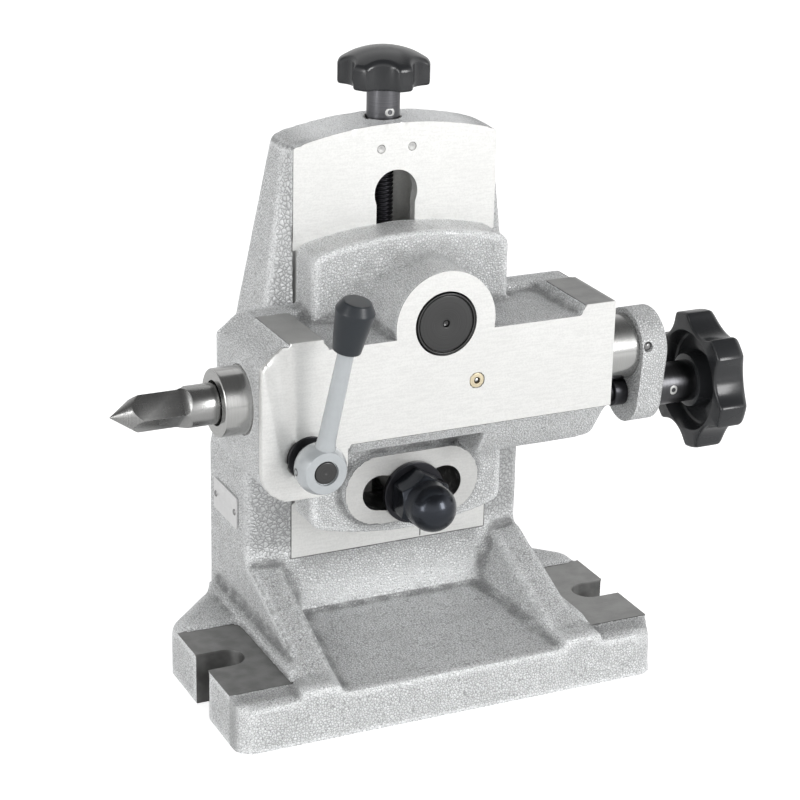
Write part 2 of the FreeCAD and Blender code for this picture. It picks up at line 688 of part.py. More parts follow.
def base_casting():
    """Base, ribs and column in one iron casting, with its milled faces."""
    piece = Piece("base_casting")
    half = s.base_length / 2
    front = -s.base_front
    corner_back = s.end_back + half - s.column_half
    piece.pad("XY", Size(0, "0"), s.cast_height, Outline(
        (-half, 0), (half, 0), Corner(half, s.end_back, s.end_corner),
        (s.column_half, corner_back), Corner(s.column_half, s.base_back, s.column_round),
        Corner(-s.column_half, s.base_back, s.column_round), (-s.column_half, corner_back),
        Corner(-half, s.end_back, s.end_corner)))
    piece.soften("Fillet", s.shoulder_round, lambda edge: near(middle(edge).z, s.cast_height)
                 and abs(middle(edge).x) > number(s.column_half) + 1)
    piece.pad("XY", Size(0, "0"), s.cast_height, Outline(
        Corner(-half, front, s.base_corner), Corner(half, front, s.base_corner),
        (half, s.pad_back), (-half, s.pad_back)))
    # Foot along the column and the ribs, which comes down to the front edge.
    rise = (s.rib_height - s.front_height) / (s.base_front + s.face_plane)
    foot_start = front + (s.foot_height - s.front_height) / rise
    piece.pad("YZ", -s.foot_half, s.foot_half, Outline(
        (front, 0), (corner_back - s.foot_half + s.column_half, 0),
        (corner_back - s.foot_half + s.column_half, s.foot_height),
        (foot_start, s.foot_height), (front, s.front_height)))
    # Column: straight at the bottom, tapered above.
    outline_low = column_outline(s.face_half, s.band_low, s.column_half, s.base_back)
    piece.pad("XY", Size(0, "0"), s.taper_start, outline_low)
    outline_high = column_outline(s.face_half, s.band_high, s.top_half, s.top_back)
    piece.loft("PartDesign::AdditiveLoft", "XY",
               (s.taper_start, column_outline(
                   s.face_half, s.band_low, s.column_half, s.base_back)),
               (s.column_top, outline_high))
    # Crown.
    side = s.top_half + 8
    side_height = s.crown_height - s.crown_radius + sagged(s.crown_radius, side)
    piece.cut("XZ", s.face_plane - OVERSHOOT, s.base_back, Outline(
        (-s.column_half, side_height), Corner(-side, side_height),
        Corner(side, side_height, hollow=s.crown_radius),
        (s.column_half, side_height), (s.column_half, s.column_top + OVERSHOOT),
        (-s.column_half, s.column_top + OVERSHOOT)))
    # Front slope of the pads, below the ribs.
    piece.cut("YZ", -half - OVERSHOOT, -s.foot_half, front_slope())
    piece.cut("YZ", s.foot_half, half + OVERSHOOT, front_slope())
    # Ribs, as a wedge that the pocket is then cut from.
    piece.pad("YZ", -s.column_half, s.column_half, Outline(
        (front, 0), (s.face_plane + s.band_low, 0),
        (s.face_plane + s.band_low, s.rib_height), (s.face_plane, s.rib_height),
        (front, s.front_height)))
    reach = s.face_bottom - s.pocket_back_height
    piece.loft("PartDesign::SubtractiveLoft", "XZ",
               (front - OVERSHOOT, pocket_outline(s.pocket_front_half, s.front_height, reach)),
               (s.face_plane, pocket_outline(s.pocket_back_half, s.pocket_back_height, reach)))
    # Apron below the milled face.
    apron_half = s.face_half + s.apron_lean
    piece.pad("YZ", -apron_half, apron_half, Outline(
        (s.face_plane - s.apron_lean, s.cast_height - OVERSHOOT),
        (s.face_plane + OVERSHOOT, s.cast_height - OVERSHOOT),
        (s.face_plane + OVERSHOOT, s.face_bottom), (s.face_plane, s.face_bottom)))
    # Milled pads, front slope and open bolt slots at both ends.
    for sign in (-1, 1):
        near_side = sign * s.foot_half
        far_side = sign * (half + OVERSHOOT)
        left = far_side if sign < 0 else near_side
        right = near_side if sign < 0 else far_side
        corners = [Corner(left, -s.pad_front), Corner(right, -s.pad_front),
                   Corner(right, s.pad_back), Corner(left, s.pad_back)]
        corners[2 if sign < 0 else 3].rounding = s.pad_corner
        piece.cut("XY", s.pad_height, s.foot_height + OVERSHOOT, Outline(*corners))
        slot_centre = sign * (half - s.slot_depth + s.slot_width / 2)
        slot_mouth = sign * (half + s.slot_width)
        ends = sorted((slot_centre, slot_mouth), key=number)
        piece.cut("XY", Size(-OVERSHOOT, f"({-OVERSHOOT})"), s.cast_height + OVERSHOOT,
                  Slot((ends[0], 0), (ends[1], 0), s.slot_width / 2))
    # Way for the slide block, its slot and keyhole, and the screw's hole.
    piece.cut("XY", s.way_floor, s.way_top, Circle(0, s.screw_plane, s.way_radius))
    piece.cut("XY", s.way_top - OVERSHOOT, s.crown_height + OVERSHOOT,
              Circle(0, s.screw_plane, s.collar_radius + s.running_fit))
    piece.cut("XZ", s.face_plane - OVERSHOOT, s.screw_plane,
              Slot((0, s.way_slot_end), (0, s.keyhole_height), s.way_slot / 2))
    piece.cut("XZ", s.face_plane - OVERSHOOT, s.screw_plane,
              Circle(0, s.keyhole_height, s.keyhole_radius))
    piece.cut("XZ", s.face_plane - OVERSHOOT, s.face_plane + s.pin_length + s.loose_fit,
              Circle(-s.pin_half, s.pin_height, s.pin_radius),
              Circle(s.pin_half, s.pin_height, s.pin_radius))
    return piece


def column_outline(face_half, band, half, back):
    """Plan of the column: milled face, slanted bands, sides and back."""
    side_front = s.face_plane + band
    return Outline(
        (-face_half, s.face_plane), (face_half, s.face_plane), (half, side_front),
        Corner(half, back, s.column_round), Corner(-half, back, s.column_round),
        (-half, side_front))


def front_slope():
    """The sloping strip between the front edge and a bolt pad."""
    front = -s.base_front
    return Outline(
        (front - OVERSHOOT, s.front_height), (front, s.front_height),
        (-s.pad_front, s.pad_height - OVERSHOOT / 4), (-s.pad_front, s.foot_height + OVERSHOOT),
        (front - OVERSHOOT, s.foot_height + OVERSHOOT))


def pocket_outline(half, floor, reach):
    """Section of the pocket between the ribs, whose walls lean outwards."""
    out = half + reach * s.rib_slope
    return Outline((-half, floor), (half, floor), (out, floor + reach), (-out, floor + reach))


def retaining_pins():
    """Two pins that hold the elevating screw by its neck."""
    pins = []
    for side in (-1, 1):
        pin = doc.addObject("Part::Cylinder", "retaining_pin")
        pin.Label = f"retaining_pin_{'left' if side < 0 else 'right'}"
        bind(pin, "Radius", s.pin_radius)
        bind(pin, "Height", s.pin_length)
        pin.Placement.Rotation = FreeCAD.Rotation(FreeCAD.Vector(1, 0, 0), -90)
        move_to(pin, side * s.pin_half, s.face_plane + s.loose_fit / 2, s.pin_height)
        pins.append(pin)
    return group("retaining_pins", pins)


def group(label, members):
    """Like pieces that share one node."""
    held = doc.addObject("Part::Compound", label)
    held.Label = label
    held.Links = members
    return held


def name_plate():
    """Bare plate on the column's left side, with its two rivet holes."""
    piece = Piece("name_plate", -s.column_half - s.plate_thickness, s.plate_middle,
                  s.plate_low_edge + s.plate_width / 2)
    length = s.plate_length / 2
    width = s.plate_width / 2
    piece.pad("YZ", Size(0, "0"), s.plate_thickness,
              Outline(*[Corner(x, y, s.rivet_radius) for x, y in (
                  (-length, -width), (length, -width), (length, width), (-length, width))]),
              Circle(-s.rivet_half, 0, s.rivet_radius),
              Circle(s.rivet_half, 0, s.rivet_radius))
    return piece


def plate_rivets():
    """Two small rivets whose domed heads stand on the plate."""
    rivets = []
    for side in (-1, 1):
        shank = s.plate_thickness
        piece = Piece(f"plate_rivet_{'front' if side < 0 else 'back'}",
                      -s.column_half, s.plate_middle + side * s.rivet_half,
                      s.plate_low_edge + s.plate_width / 2)
        head = s.rivet_radius + s.plate_thickness / 2
        top = -shank - s.plate_thickness / 2
        piece.turn("XZ", "H_Axis", Outline(
            (top, 0), (0, 0), (0, s.rivet_radius - s.running_fit),
            (-shank, s.rivet_radius - s.running_fit), (-shank, head),
            (top, head - s.plate_thickness / 2)))
        rivets.append(piece.body)
    return group("plate_rivets", rivets)


def elevating_screw():
    """Screw that lifts the head: thread, grooved collar and stem."""
    piece = Piece("elevating_screw", 0, s.screw_plane, 0)
    groove_radius = s.pin_half - s.pin_radius - s.running_fit
    groove_half = s.pin_radius + s.running_fit
    stem_top = s.top_knob_bottom + s.knob_seat
    piece.turn("XZ", "V_Axis", Outline(
        (0, s.screw_end), (s.screw_radius - 1, s.screw_end),
        (s.screw_radius, s.screw_end + 1), (s.screw_radius, s.collar_bottom),
        (s.collar_radius, s.collar_bottom), (s.collar_radius, s.pin_height - groove_half),
        (groove_radius, s.pin_height - groove_half), (groove_radius, s.pin_height + groove_half),
        (s.collar_radius, s.pin_height + groove_half), (s.collar_radius, s.collar_top),
        (s.stem_radius, s.collar_top), (s.stem_radius, stem_top), (0, stem_top)))
    piece.cut("XZ", -s.stem_radius - OVERSHOOT, s.stem_radius + OVERSHOOT,
              Circle(0, s.top_pin_height, s.cross_pin_radius))
    return piece


def knob_bush(label, plane, axis, place, radius, start, stop, pin_place):
    """Steel bush moulded into a knob and pinned to its screw's stem."""
    piece = Piece(label, *place)
    bore = s.stem_radius + s.running_fit
    if axis == "V_Axis":
        corners = ((bore, start), (radius, start), (radius, stop), (bore, stop))
        pin = Circle(0, pin_place, s.cross_pin_radius)
    else:
        corners = ((start, bore), (stop, bore), (stop, radius), (start, radius))
        pin = Circle(pin_place, 0, s.cross_pin_radius)
    piece.turn(plane, axis, Outline(*corners))
    piece.cut("XZ", -radius - OVERSHOOT, radius + OVERSHOOT, pin)
    return piece


def roll_pin(label, x, y, z, length):
    """Cross pin that runs through a bush and a stem, along Y."""
    piece = Piece(label, x, y, z)
    radius = s.cross_pin_radius - s.running_fit / 2
    piece.pad("XZ", -length, length, Circle(0, 0, radius))
    piece.cut("XZ", -length - OVERSHOOT, -length + s.cross_pin_radius,
              Circle(0, 0, radius / 2))
    return piece


def knob(label, place, across, radius, rim, dome, bush_radius, turn):
    """Six-lobed star knob: turned body, hollow back and scooped rim.

    It is modelled with its back at zero and its dome upwards, and lies across
    the X axis where across is true.
    """
    piece = Piece(label, *place)
    crown = (radius * radius + dome * dome) / (2 * dome)
    hub = bush_radius + radius / 12
    hollow = radius * 0.735
    depth = rim * 0.55
    piece.turn("XZ", "V_Axis", Outline(
        (bush_radius, 0), (hub, 0), (hub + depth / 5, depth), (hollow - depth / 5, depth),
        (hollow, 0), (radius, 0), (radius, rim),
        Corner(0, rim + dome, bow=crown), (0, s.knob_seat + s.loose_fit),
        (bush_radius, s.knob_seat + s.loose_fit)))
    scoop = radius * 0.466
    scoop_centre = radius * 1.262
    angle = math.radians(turn)
    cut = piece.cut("XY", Size(-OVERSHOOT, f"({-OVERSHOOT})"), rim + dome + OVERSHOOT,
                    Circle(scoop_centre * math.cos(angle), scoop_centre * math.sin(angle), scoop))
    piece.round_copies(cut, LOBES)
    piece.soften("Fillet", s.lobe_round, lambda edge: along(edge, "z")
                 and math.hypot(middle(edge).x, middle(edge).y) > number(radius) - 0.1)
    if across:
        piece.body.Placement.Rotation = FreeCAD.Rotation(FreeCAD.Vector(0, 1, 0), 90)
    return piece


def slide_block():
    """Nut that the elevating screw lifts, with the neck that carries the pivot."""
    piece = Piece("slide_block", 0, s.screw_plane, s.pivot_height)
    piece.pad("XY", -s.block_half, s.block_half, Circle(0, 0, s.way_radius - s.running_fit))
    neck_front = s.face_plane + s.loose_fit - s.screw_plane
    piece.pad("XZ", neck_front, Size(0, "0"), Circle(0, 0, s.neck_radius))
    piece.cut("XY", -s.block_half - OVERSHOOT, s.block_half + OVERSHOOT,
              Circle(0, 0, s.screw_radius + s.running_fit))
    piece.cut("XZ", neck_front - OVERSHOOT,
              s.face_plane + s.tail_length + s.loose_fit - s.screw_plane,
              Circle(0, 0, s.tail_radius + s.running_fit))
    return piece


def pivot_stud():
    """Large pivot pin, seen from the front, with its tail in the slide block."""
    piece = Piece("pivot_stud", 0, 0, s.pivot_height)
    face = -s.head_front - s.pivot_proud
    ring = s.pivot_radius - s.pivot_rim
    piece.turn("YZ", "H_Axis", Outline(
        (face + s.pivot_rim / 2, 0), (s.face_plane + s.tail_length, 0),
        (s.face_plane + s.tail_length, s.tail_radius), (s.face_plane, s.tail_radius),
        (s.face_plane, s.pivot_radius), (face, s.pivot_radius), (face, ring),
        (face + s.pivot_rim / 2, ring)))
    # Centre-drilled hole.
    drill = s.pivot_rim
    piece.groove("YZ", "H_Axis", Outline(
        (face, 0), (face + 4 * drill, 0), (face + 2 * drill, drill * 0.9),
        (face, 2 * drill)))
    return piece


def clamp_t_bolt():
    """Bolt that clamps the head to the column, its head in the way."""
    piece = Piece("clamp_t_bolt", 0, 0, s.bolt_height)
    end = s.oval_front - s.washer_thickness - s.bolt_reach
    back = s.bolt_head_front + s.bolt_head_length
    piece.turn("YZ", "H_Axis", Outline(
        (end, 0), (back, 0), (back, s.bolt_head_radius),
        (s.bolt_head_front, s.bolt_head_radius), (s.bolt_head_front, s.tail_radius),
        (end + 1, s.tail_radius), (end, s.tail_radius - 1)))
    return piece


def washer():
    """Flat washer under the dome nut."""
    piece = Piece("washer", 0, 0, s.bolt_height)
    piece.pad("XZ", s.oval_front - s.washer_thickness, s.oval_front,
              Circle(0, 0, s.washer_radius),
              Circle(0, 0, s.tail_radius + 2 * s.loose_fit))
    piece.soften("Chamfer", s.loose_fit * 2, lambda edge: near(
        middle(edge).y, s.oval_front - s.washer_thickness))
    return piece


def dome_nut():
    """Hexagon nut with a closed dome."""
    piece = Piece("dome_nut", 0, 0, s.bolt_height)
    base = s.oval_front - s.washer_thickness
    hex_front = base - s.hex_height
    corner = s.nut_flats / math.sqrt(3)
    hexagon = []
    for step in range(6):
        angle = math.radians(60 * step + 30)
        hexagon.append((corner * math.cos(angle), corner * math.sin(angle)))
    piece.pad("XZ", hex_front, base, Outline(*hexagon))
    # Bevelled corners at the front of the hexagon.
    bevel = corner - s.nut_flats / 2
    piece.groove("YZ", "H_Axis", Outline(
        (hex_front - OVERSHOOT, s.nut_flats / 2 - OVERSHOOT * 0.5),
        (hex_front + bevel * 0.6, corner + OVERSHOOT * 0.1), (hex_front - OVERSHOOT, corner + OVERSHOOT)))
    front = hex_front - s.dome_length
    piece.turn("YZ", "H_Axis", Outline(
        Corner(front, 0, bow=s.dome_radius), (hex_front + OVERSHOOT, 0),
        (hex_front + OVERSHOOT, s.dome_radius), (front + s.dome_radius, s.dome_radius)))
    piece.cut("XZ", base - s.bolt_reach - OVERSHOOT, base + OVERSHOOT,
              Circle(0, 0, s.tail_radius + s.running_fit))
    return piece


def head_casting():
    """Tilting head: back plate, beam, boss, clamp lug and feed nut housing."""
    piece = Piece("head_casting")
    front = -s.head_front
    back = s.face_plane
    # Back plate between two arcs.
    half = s.plate_half
    top = s.plate_top - s.plate_top_radius + sagged(s.plate_top_radius, half)
    low = s.plate_bottom + s.plate_bottom_radius - sagged(s.plate_bottom_radius, half)
    piece.pad("XZ", s.plate_front, back, Outline(
        (-half, low), Corner(half, low, bow=s.plate_bottom_radius), (half, top),
        Corner(-half, top, bow=s.plate_top_radius)))
    piece.soften("Fillet", s.plate_round, lambda edge: along(edge, "y"))
    # Beam with its milled strips, sloping shoulder and clamp lug.
    piece.pad("XZ", front, back, Outline(
        Corner(-s.head_left, s.lug_bottom, s.lug_round),
        Corner(-s.lug_inner, s.lug_bottom, s.lug_round), (-s.lug_inner, s.beam_bottom),
        (s.head_right, s.beam_bottom), (s.head_right, s.strip_height),
        (s.right_strip_in, s.strip_height), (s.right_strip_in - s.strip_slope, s.head_top),
        (-s.left_strip_in + s.strip_slope, s.head_top), (-s.left_strip_in, s.strip_height),
        (-s.left_strip_out, s.strip_height), (-s.head_left, s.shoulder_height)))
    # Rough margin behind the strips and the hollows beside them.
    piece.cut("YZ", -s.head_left - OVERSHOOT, -s.plate_half, head_margin_cut())
    piece.cut("YZ", s.plate_half, s.head_right + OVERSHOOT, head_margin_cut())
    for left, right in ((-s.left_strip_in, -s.plate_half + OVERSHOOT),
                        (s.plate_half - OVERSHOOT, s.right_strip_in)):
        piece.pad("YZ", left, right, Outline(
            (s.margin_front, s.head_top - OVERSHOOT), (back, s.head_top - OVERSHOOT),
            (back, s.margin_height), (s.margin_front + s.strip_slope, s.margin_height),
            (s.margin_front, s.head_top)))
    # Lower front edge of the beam, bevelled.
    slope = (s.face_edge - s.bulge_bottom) / (s.head_front - s.bulge_front)
    bevel = (s.face_edge - s.beam_bottom) / slope
    piece.cut("YZ", -s.lug_inner, s.head_right + OVERSHOOT, Outline(
        (front - OVERSHOOT, s.beam_bottom - OVERSHOOT), (front + bevel, s.beam_bottom - OVERSHOOT),
        (front + bevel, s.beam_bottom), (front, s.face_edge),
        (front - OVERSHOOT, s.face_edge)))
    # Housing of the feed screw's thread below the beam.
    piece.pad("YZ", s.bulge_left, s.head_right, Outline(
        (back, s.bulge_bottom), (back, s.face_edge), (front, s.face_edge),
        Corner(-s.bulge_front, s.bulge_bottom, s.bulge_round)))
    # Boss round the pivot.
    piece.pad("XZ", front, s.plate_front + OVERSHOOT, Circle(0, s.pivot_height, s.boss_radius))
    piece.soften("Fillet", s.blend_round, lambda edge: near(
        middle(edge).y, number(s.plate_front))
        and near(math.hypot(middle(edge).x, middle(edge).z - number(s.pivot_height)),
                 number(s.boss_radius)))
    # Oval pad round the arc slot.
    piece.pad("XZ", s.oval_front, s.plate_front + OVERSHOOT,
              Slot((-s.oval_half, s.oval_height), (s.oval_half, s.oval_height), s.oval_radius))
    piece.cut("XZ", s.oval_front - OVERSHOOT, back + OVERSHOOT,
              ArcSlot(s.pivot_height, s.clamp_drop, s.arc_slot_reach, s.arc_slot_half))
    # Scoop in the front face, above the clamp.
    shift = s.scoop_radius - s.scoop_depth
    piece.loft("PartDesign::SubtractiveLoft", "XY",
               (s.scoop_high, Circle(-s.scoop_high_place, front - shift, s.scoop_radius)),
               (s.scoop_low, Circle(-s.scoop_low_place, front - s.scoop_radius, s.scoop_radius)))
    # Bores of the pivot, the quill, the feed screw and the clamp.
    piece.cut("XZ", front - OVERSHOOT, back + OVERSHOOT,
              Circle(0, s.pivot_height, s.pivot_radius + s.running_fit))
    piece.cut("YZ", -s.head_left - OVERSHOOT, s.head_right + OVERSHOOT,
              Circle(0, s.quill_height, s.quill_radius + s.running_fit))
    piece.cut("YZ", s.feed_hole_end, s.head_right + OVERSHOOT,
              Circle(0, s.quill_height - s.feed_drop, s.feed_radius + s.running_fit))
    piece.cut("XZ", front - OVERSHOOT, s.cotter_length + s.loose_fit,
              Circle(-s.clamp_place, s.clamp_height, s.cotter_radius + s.running_fit))
    # Seat of the oiler and the oil hole behind it.
    piece.cut("XZ", front - OVERSHOOT, front + s.oiler_length + s.loose_fit,
              Circle(s.oiler_place, s.oiler_height, s.oiler_radius))
    piece.cut("XZ", front, Size(0, "0"), Circle(s.oiler_place, s.oiler_height, s.oiler_hole))
    return piece


def head_margin_cut():
    """Section of what is taken off the rear of the head's milled strips."""
    return Outline(
        (s.strip_back, s.margin_height), (s.face_plane + OVERSHOOT, s.margin_height),
        (s.face_plane + OVERSHOOT, s.strip_height + OVERSHOOT),
        (s.strip_back - OVERSHOOT, s.strip_height + OVERSHOOT),
        (s.strip_back - OVERSHOOT, s.strip_height))


def oil_cup():
    """Brass cup of the oiler, pressed into the front face."""
    piece = Piece("oil_cup", s.oiler_place, -s.head_front, s.oiler_height)
    lip = s.oiler_ball * 0.7
    piece.turn("YZ", "H_Axis", Outline(
        (-s.loose_fit, lip), (s.oiler_ball, s.oiler_ball + s.running_fit),
        (s.oiler_length, s.oiler_ball + s.running_fit), (s.oiler_length, s.oiler_radius),
        (-s.loose_fit, s.oiler_radius)))
    return piece


def oiler_ball():
    """Steel ball that closes the oiler."""
    ball = doc.addObject("Part::Sphere", "oiler_ball")
    ball.Label = "oiler_ball"
    bind(ball, "Radius", s.oiler_ball)
    move_to(ball, s.oiler_place, s.oiler_ball + s.running_fit - s.head_front, s.oiler_height)
    return ball


def clamp_cotter(label, start, stop, bore):
    """Half of the quill clamp: a plug with a seat cut to the quill."""
    piece = Piece(label, -s.clamp_place, 0, s.clamp_height)
    piece.pad("XZ", start, stop, Circle(0, 0, s.cotter_radius), Circle(0, 0, bore))
    piece.cut("YZ", -s.cotter_radius - OVERSHOOT, s.cotter_radius + OVERSHOOT,
              Circle(0, s.quill_height - s.clamp_height, s.quill_radius + s.running_fit))
    return piece


def clamp_bolt():
    """Bolt that draws the two cotters together, seen in the ball's flat."""
    piece = Piece("clamp_bolt", -s.clamp_place, 0, s.clamp_height)
    piece.pad("XZ", -s.ball_place - s.ball_flat, s.cotter_length - s.loose_fit,
              Circle(0, 0, s.clamp_bolt_radius))
    return piece


def lever_frame():
    """Direction in which the lever's arm points."""
    lean = FreeCAD.Rotation(FreeCAD.Vector(1, 0, 0), s.lever_lean.value)
    swing = FreeCAD.Rotation(FreeCAD.Vector(0, 1, 0), s.lever_swing.value)
    return swing.multiply(lean)


def lever_arm():
    """Ball and arm of the clamp lever, in one piece."""
    place = (-s.clamp_place, -s.ball_place, s.clamp_height)
    ball = doc.addObject("Part::Sphere", "lever_ball")
    bind(ball, "Radius", s.ball_radius)
    move_to(ball, *place)
    arm = doc.addObject("Part::Cone", "lever_rod")
    bind(arm, "Radius1", s.arm_radius)
    bind(arm, "Radius2", s.arm_end_radius)
    bind(arm, "Height", s.arm_length)
    arm.Placement.Rotation = lever_frame()
    move_to(arm, *place)
    joined = doc.addObject("Part::Fuse", "lever_joined")
    joined.Base = ball
    joined.Tool = arm
    flat_cut = doc.addObject("Part::Box", "lever_flat")
    bind(flat_cut, "Length", 4 * s.ball_radius)
    bind(flat_cut, "Width", s.ball_radius)
    bind(flat_cut, "Height", 2 * s.ball_radius)
    move_to(flat_cut, -s.clamp_place - 2 * s.ball_radius,
            -s.ball_place - s.ball_flat - s.ball_radius, s.clamp_height - s.ball_radius)
    faced = doc.addObject("Part::Cut", "lever_faced")
    faced.Base = joined
    faced.Tool = flat_cut
    hole = doc.addObject("Part::Cylinder", "lever_hole")
    bind(hole, "Radius", s.clamp_bolt_radius)
    bind(hole, "Height", 4 * s.ball_radius)
    hole.Placement.Rotation = FreeCAD.Rotation(FreeCAD.Vector(1, 0, 0), -90)
    move_to(hole, -s.clamp_place, -s.ball_place - 2 * s.ball_radius, s.clamp_height)
    arm_piece = doc.addObject("Part::Cut", "lever_arm")
    arm_piece.Label = "lever_arm"
    arm_piece.Base = faced
    arm_piece.Tool = hole
    return arm_piece


def lever_grip():
    """Tapered plastic grip with a bevelled end."""
    piece = Piece("lever_grip", -s.clamp_place, -s.ball_place, s.clamp_height)
    piece.body.Placement.Rotation = lever_frame()
    taper = (s.arm_radius - s.arm_end_radius) / s.arm_length
    bore_low = s.arm_radius - s.grip_start * taper
    piece.turn("XZ", "V_Axis", Outline(
        (bore_low, s.grip_start), (s.grip_low_radius, s.grip_start),
        (s.grip_high_radius, s.grip_end - s.grip_bevel_length),
        (s.grip_high_radius - s.grip_bevel, s.grip_end), (0, s.grip_end),
        (0, s.arm_length), (s.arm_end_radius, s.arm_length)))
    return piece


def quill_sleeve():
    """Quill with its taper socket at the left and its spigot at the right."""
    piece = Piece("quill_sleeve", 0, 0, s.quill_height)
    socket_start = s.mouth_depth - s.quill_left
    piece.turn("XZ", "H_Axis", Outline(
        (-s.quill_left, s.mouth_radius), (socket_start, s.mouth_radius),
        (socket_start, s.socket_radius), (socket_start + s.socket_length, s.socket_end),
        (socket_start + s.socket_length, 0), (s.bracket_left + s.bracket_width, 0),
        (s.bracket_left + s.bracket_width, s.spigot_radius), (s.bracket_left, s.spigot_radius),
        (s.bracket_left, s.quill_radius), (-s.quill_left + 1, s.quill_radius),
        (-s.quill_left, s.quill_radius - 1)))
    return piece


def centre():
    """Centre with a taper shank and a nose milled to four flats."""
    piece = Piece("centre", 0, 0, s.quill_height)
    socket_start = s.mouth_depth - s.quill_left
    shank_length = s.socket_length - OVERSHOOT
    fall = (s.socket_radius - s.socket_end) / s.socket_length
    piece.turn("XZ", "H_Axis", Outline(
        (-s.centre_tip, 0), (socket_start + shank_length, 0),
        (socket_start + shank_length, s.socket_radius - fall * shank_length - s.running_fit),
        (socket_start, s.socket_radius - s.running_fit),
        (socket_start - s.loose_fit, s.centre_radius),
        (s.point_length - s.centre_tip, s.centre_radius)))
    outer = s.flat_distance + s.flat_runout
    for plane in ("XY", "XZ"):
        for side in (-1, 1):
            start = side * s.flat_distance
            stop = side * outer
            corners = [Corner(-s.centre_tip - OVERSHOOT, start), Corner(-s.centre_shoulder, start),
                       Corner(-s.centre_shoulder, stop), Corner(-s.centre_tip - OVERSHOOT, stop)]
            corners[1].rounding = s.flat_runout - s.loose_fit
            if side < 0:
                corners.reverse()
            piece.cut(plane, -s.centre_radius - OVERSHOOT, s.centre_radius + OVERSHOOT,
                      Outline(*corners))
    piece.body.Placement.Rotation = FreeCAD.Rotation(FreeCAD.Vector(1, 0, 0), FLATS_TURN)
    return piece


def quill_bracket():
    """Bracket that ties the quill's end to the feed screw."""
    piece = Piece("quill_bracket", 0, 0, s.quill_height)
    # The sides run tangent to both ends.
    lean = (s.bracket_top_radius - s.bracket_low_radius) / s.feed_drop
    upright = root(1 - lean * lean)
    top = s.bracket_top_radius
    low = s.bracket_low_radius
    piece.pad("YZ", s.bracket_left, s.bracket_left + s.bracket_width, Outline(
        (-low * upright, -s.feed_drop - low * lean),
        Corner(0, -s.feed_drop - low, bow=low),
        Corner(low * upright, -s.feed_drop - low * lean, bow=low),
        (top * upright, -top * lean), Corner(0, top, bow=top),
        Corner(-top * upright, -top * lean, bow=top)),
        Circle(0, 0, s.spigot_radius + s.running_fit),
        Circle(0, -s.feed_drop, s.feed_radius + s.running_fit))
    piece.cut("XZ", -s.bracket_top_radius - OVERSHOOT, -s.spigot_radius,
              Circle(s.bracket_left + s.set_screw_place, s.set_screw_rise, s.set_screw_radius))
    piece.soften("Fillet", s.edge_round, lambda edge: near(
        middle(edge).x, s.bracket_left + s.bracket_width)
        and (abs(middle(edge).y) > number(low) - 2 or abs(middle(edge).z) > number(top) - 1)
        and middle(edge).z < number(top) + 1)
    return piece


def bracket_set_screw():
    """Set screw that locks the bracket on the quill's spigot."""
    piece = Piece("bracket_set_screw", s.bracket_left + s.set_screw_place, 0,
                  s.quill_height + s.set_screw_rise)
    radius = s.set_screw_radius - s.running_fit
    face = s.loose_fit * 4 - s.bracket_top_radius
    piece.pad("XZ", face, -s.spigot_radius - s.running_fit, Circle(0, 0, radius))
    piece.soften("Chamfer", s.set_screw_radius / 4, lambda edge: near(middle(edge).y, face))
    return piece


def feed_screw():
    """Screw that moves the quill, with its stem in the side knob's bush."""
    piece = Piece("feed_screw", 0, 0, s.quill_height - s.feed_drop)
    journal_end = s.bracket_left + s.bracket_width + s.loose_fit
    stem_end = s.side_knob_left + s.knob_seat
    piece.turn("XZ", "H_Axis", Outline(
        (s.feed_end, 0), (stem_end, 0), (stem_end, s.stem_radius),
        (journal_end, s.stem_radius), (journal_end, s.feed_radius),
        (s.feed_end + 1, s.feed_radius), (s.feed_end, s.feed_radius - 1)))
    piece.cut("XZ", -s.stem_radius - OVERSHOOT, s.stem_radius + OVERSHOOT,
              Circle(s.side_pin_place, 0, s.cross_pin_radius))
    return piece


def thrust_collar():
    """Collar on the feed screw that bears on the bracket's inner face."""
    piece = Piece("thrust_collar", 0, 0, s.quill_height - s.feed_drop)
    stop = s.bracket_left - s.loose_fit
    piece.pad("YZ", stop - s.thrust_width, stop, Circle(0, 0, s.thrust_radius),
              Circle(0, 0, s.feed_radius))
    piece.soften("Chamfer", s.loose_fit * 3, lambda edge: near(
        middle(edge).x, stop - s.thrust_width)
        and math.hypot(middle(edge).y, middle(edge).z) > number(s.feed_radius) + 1)
    return piece


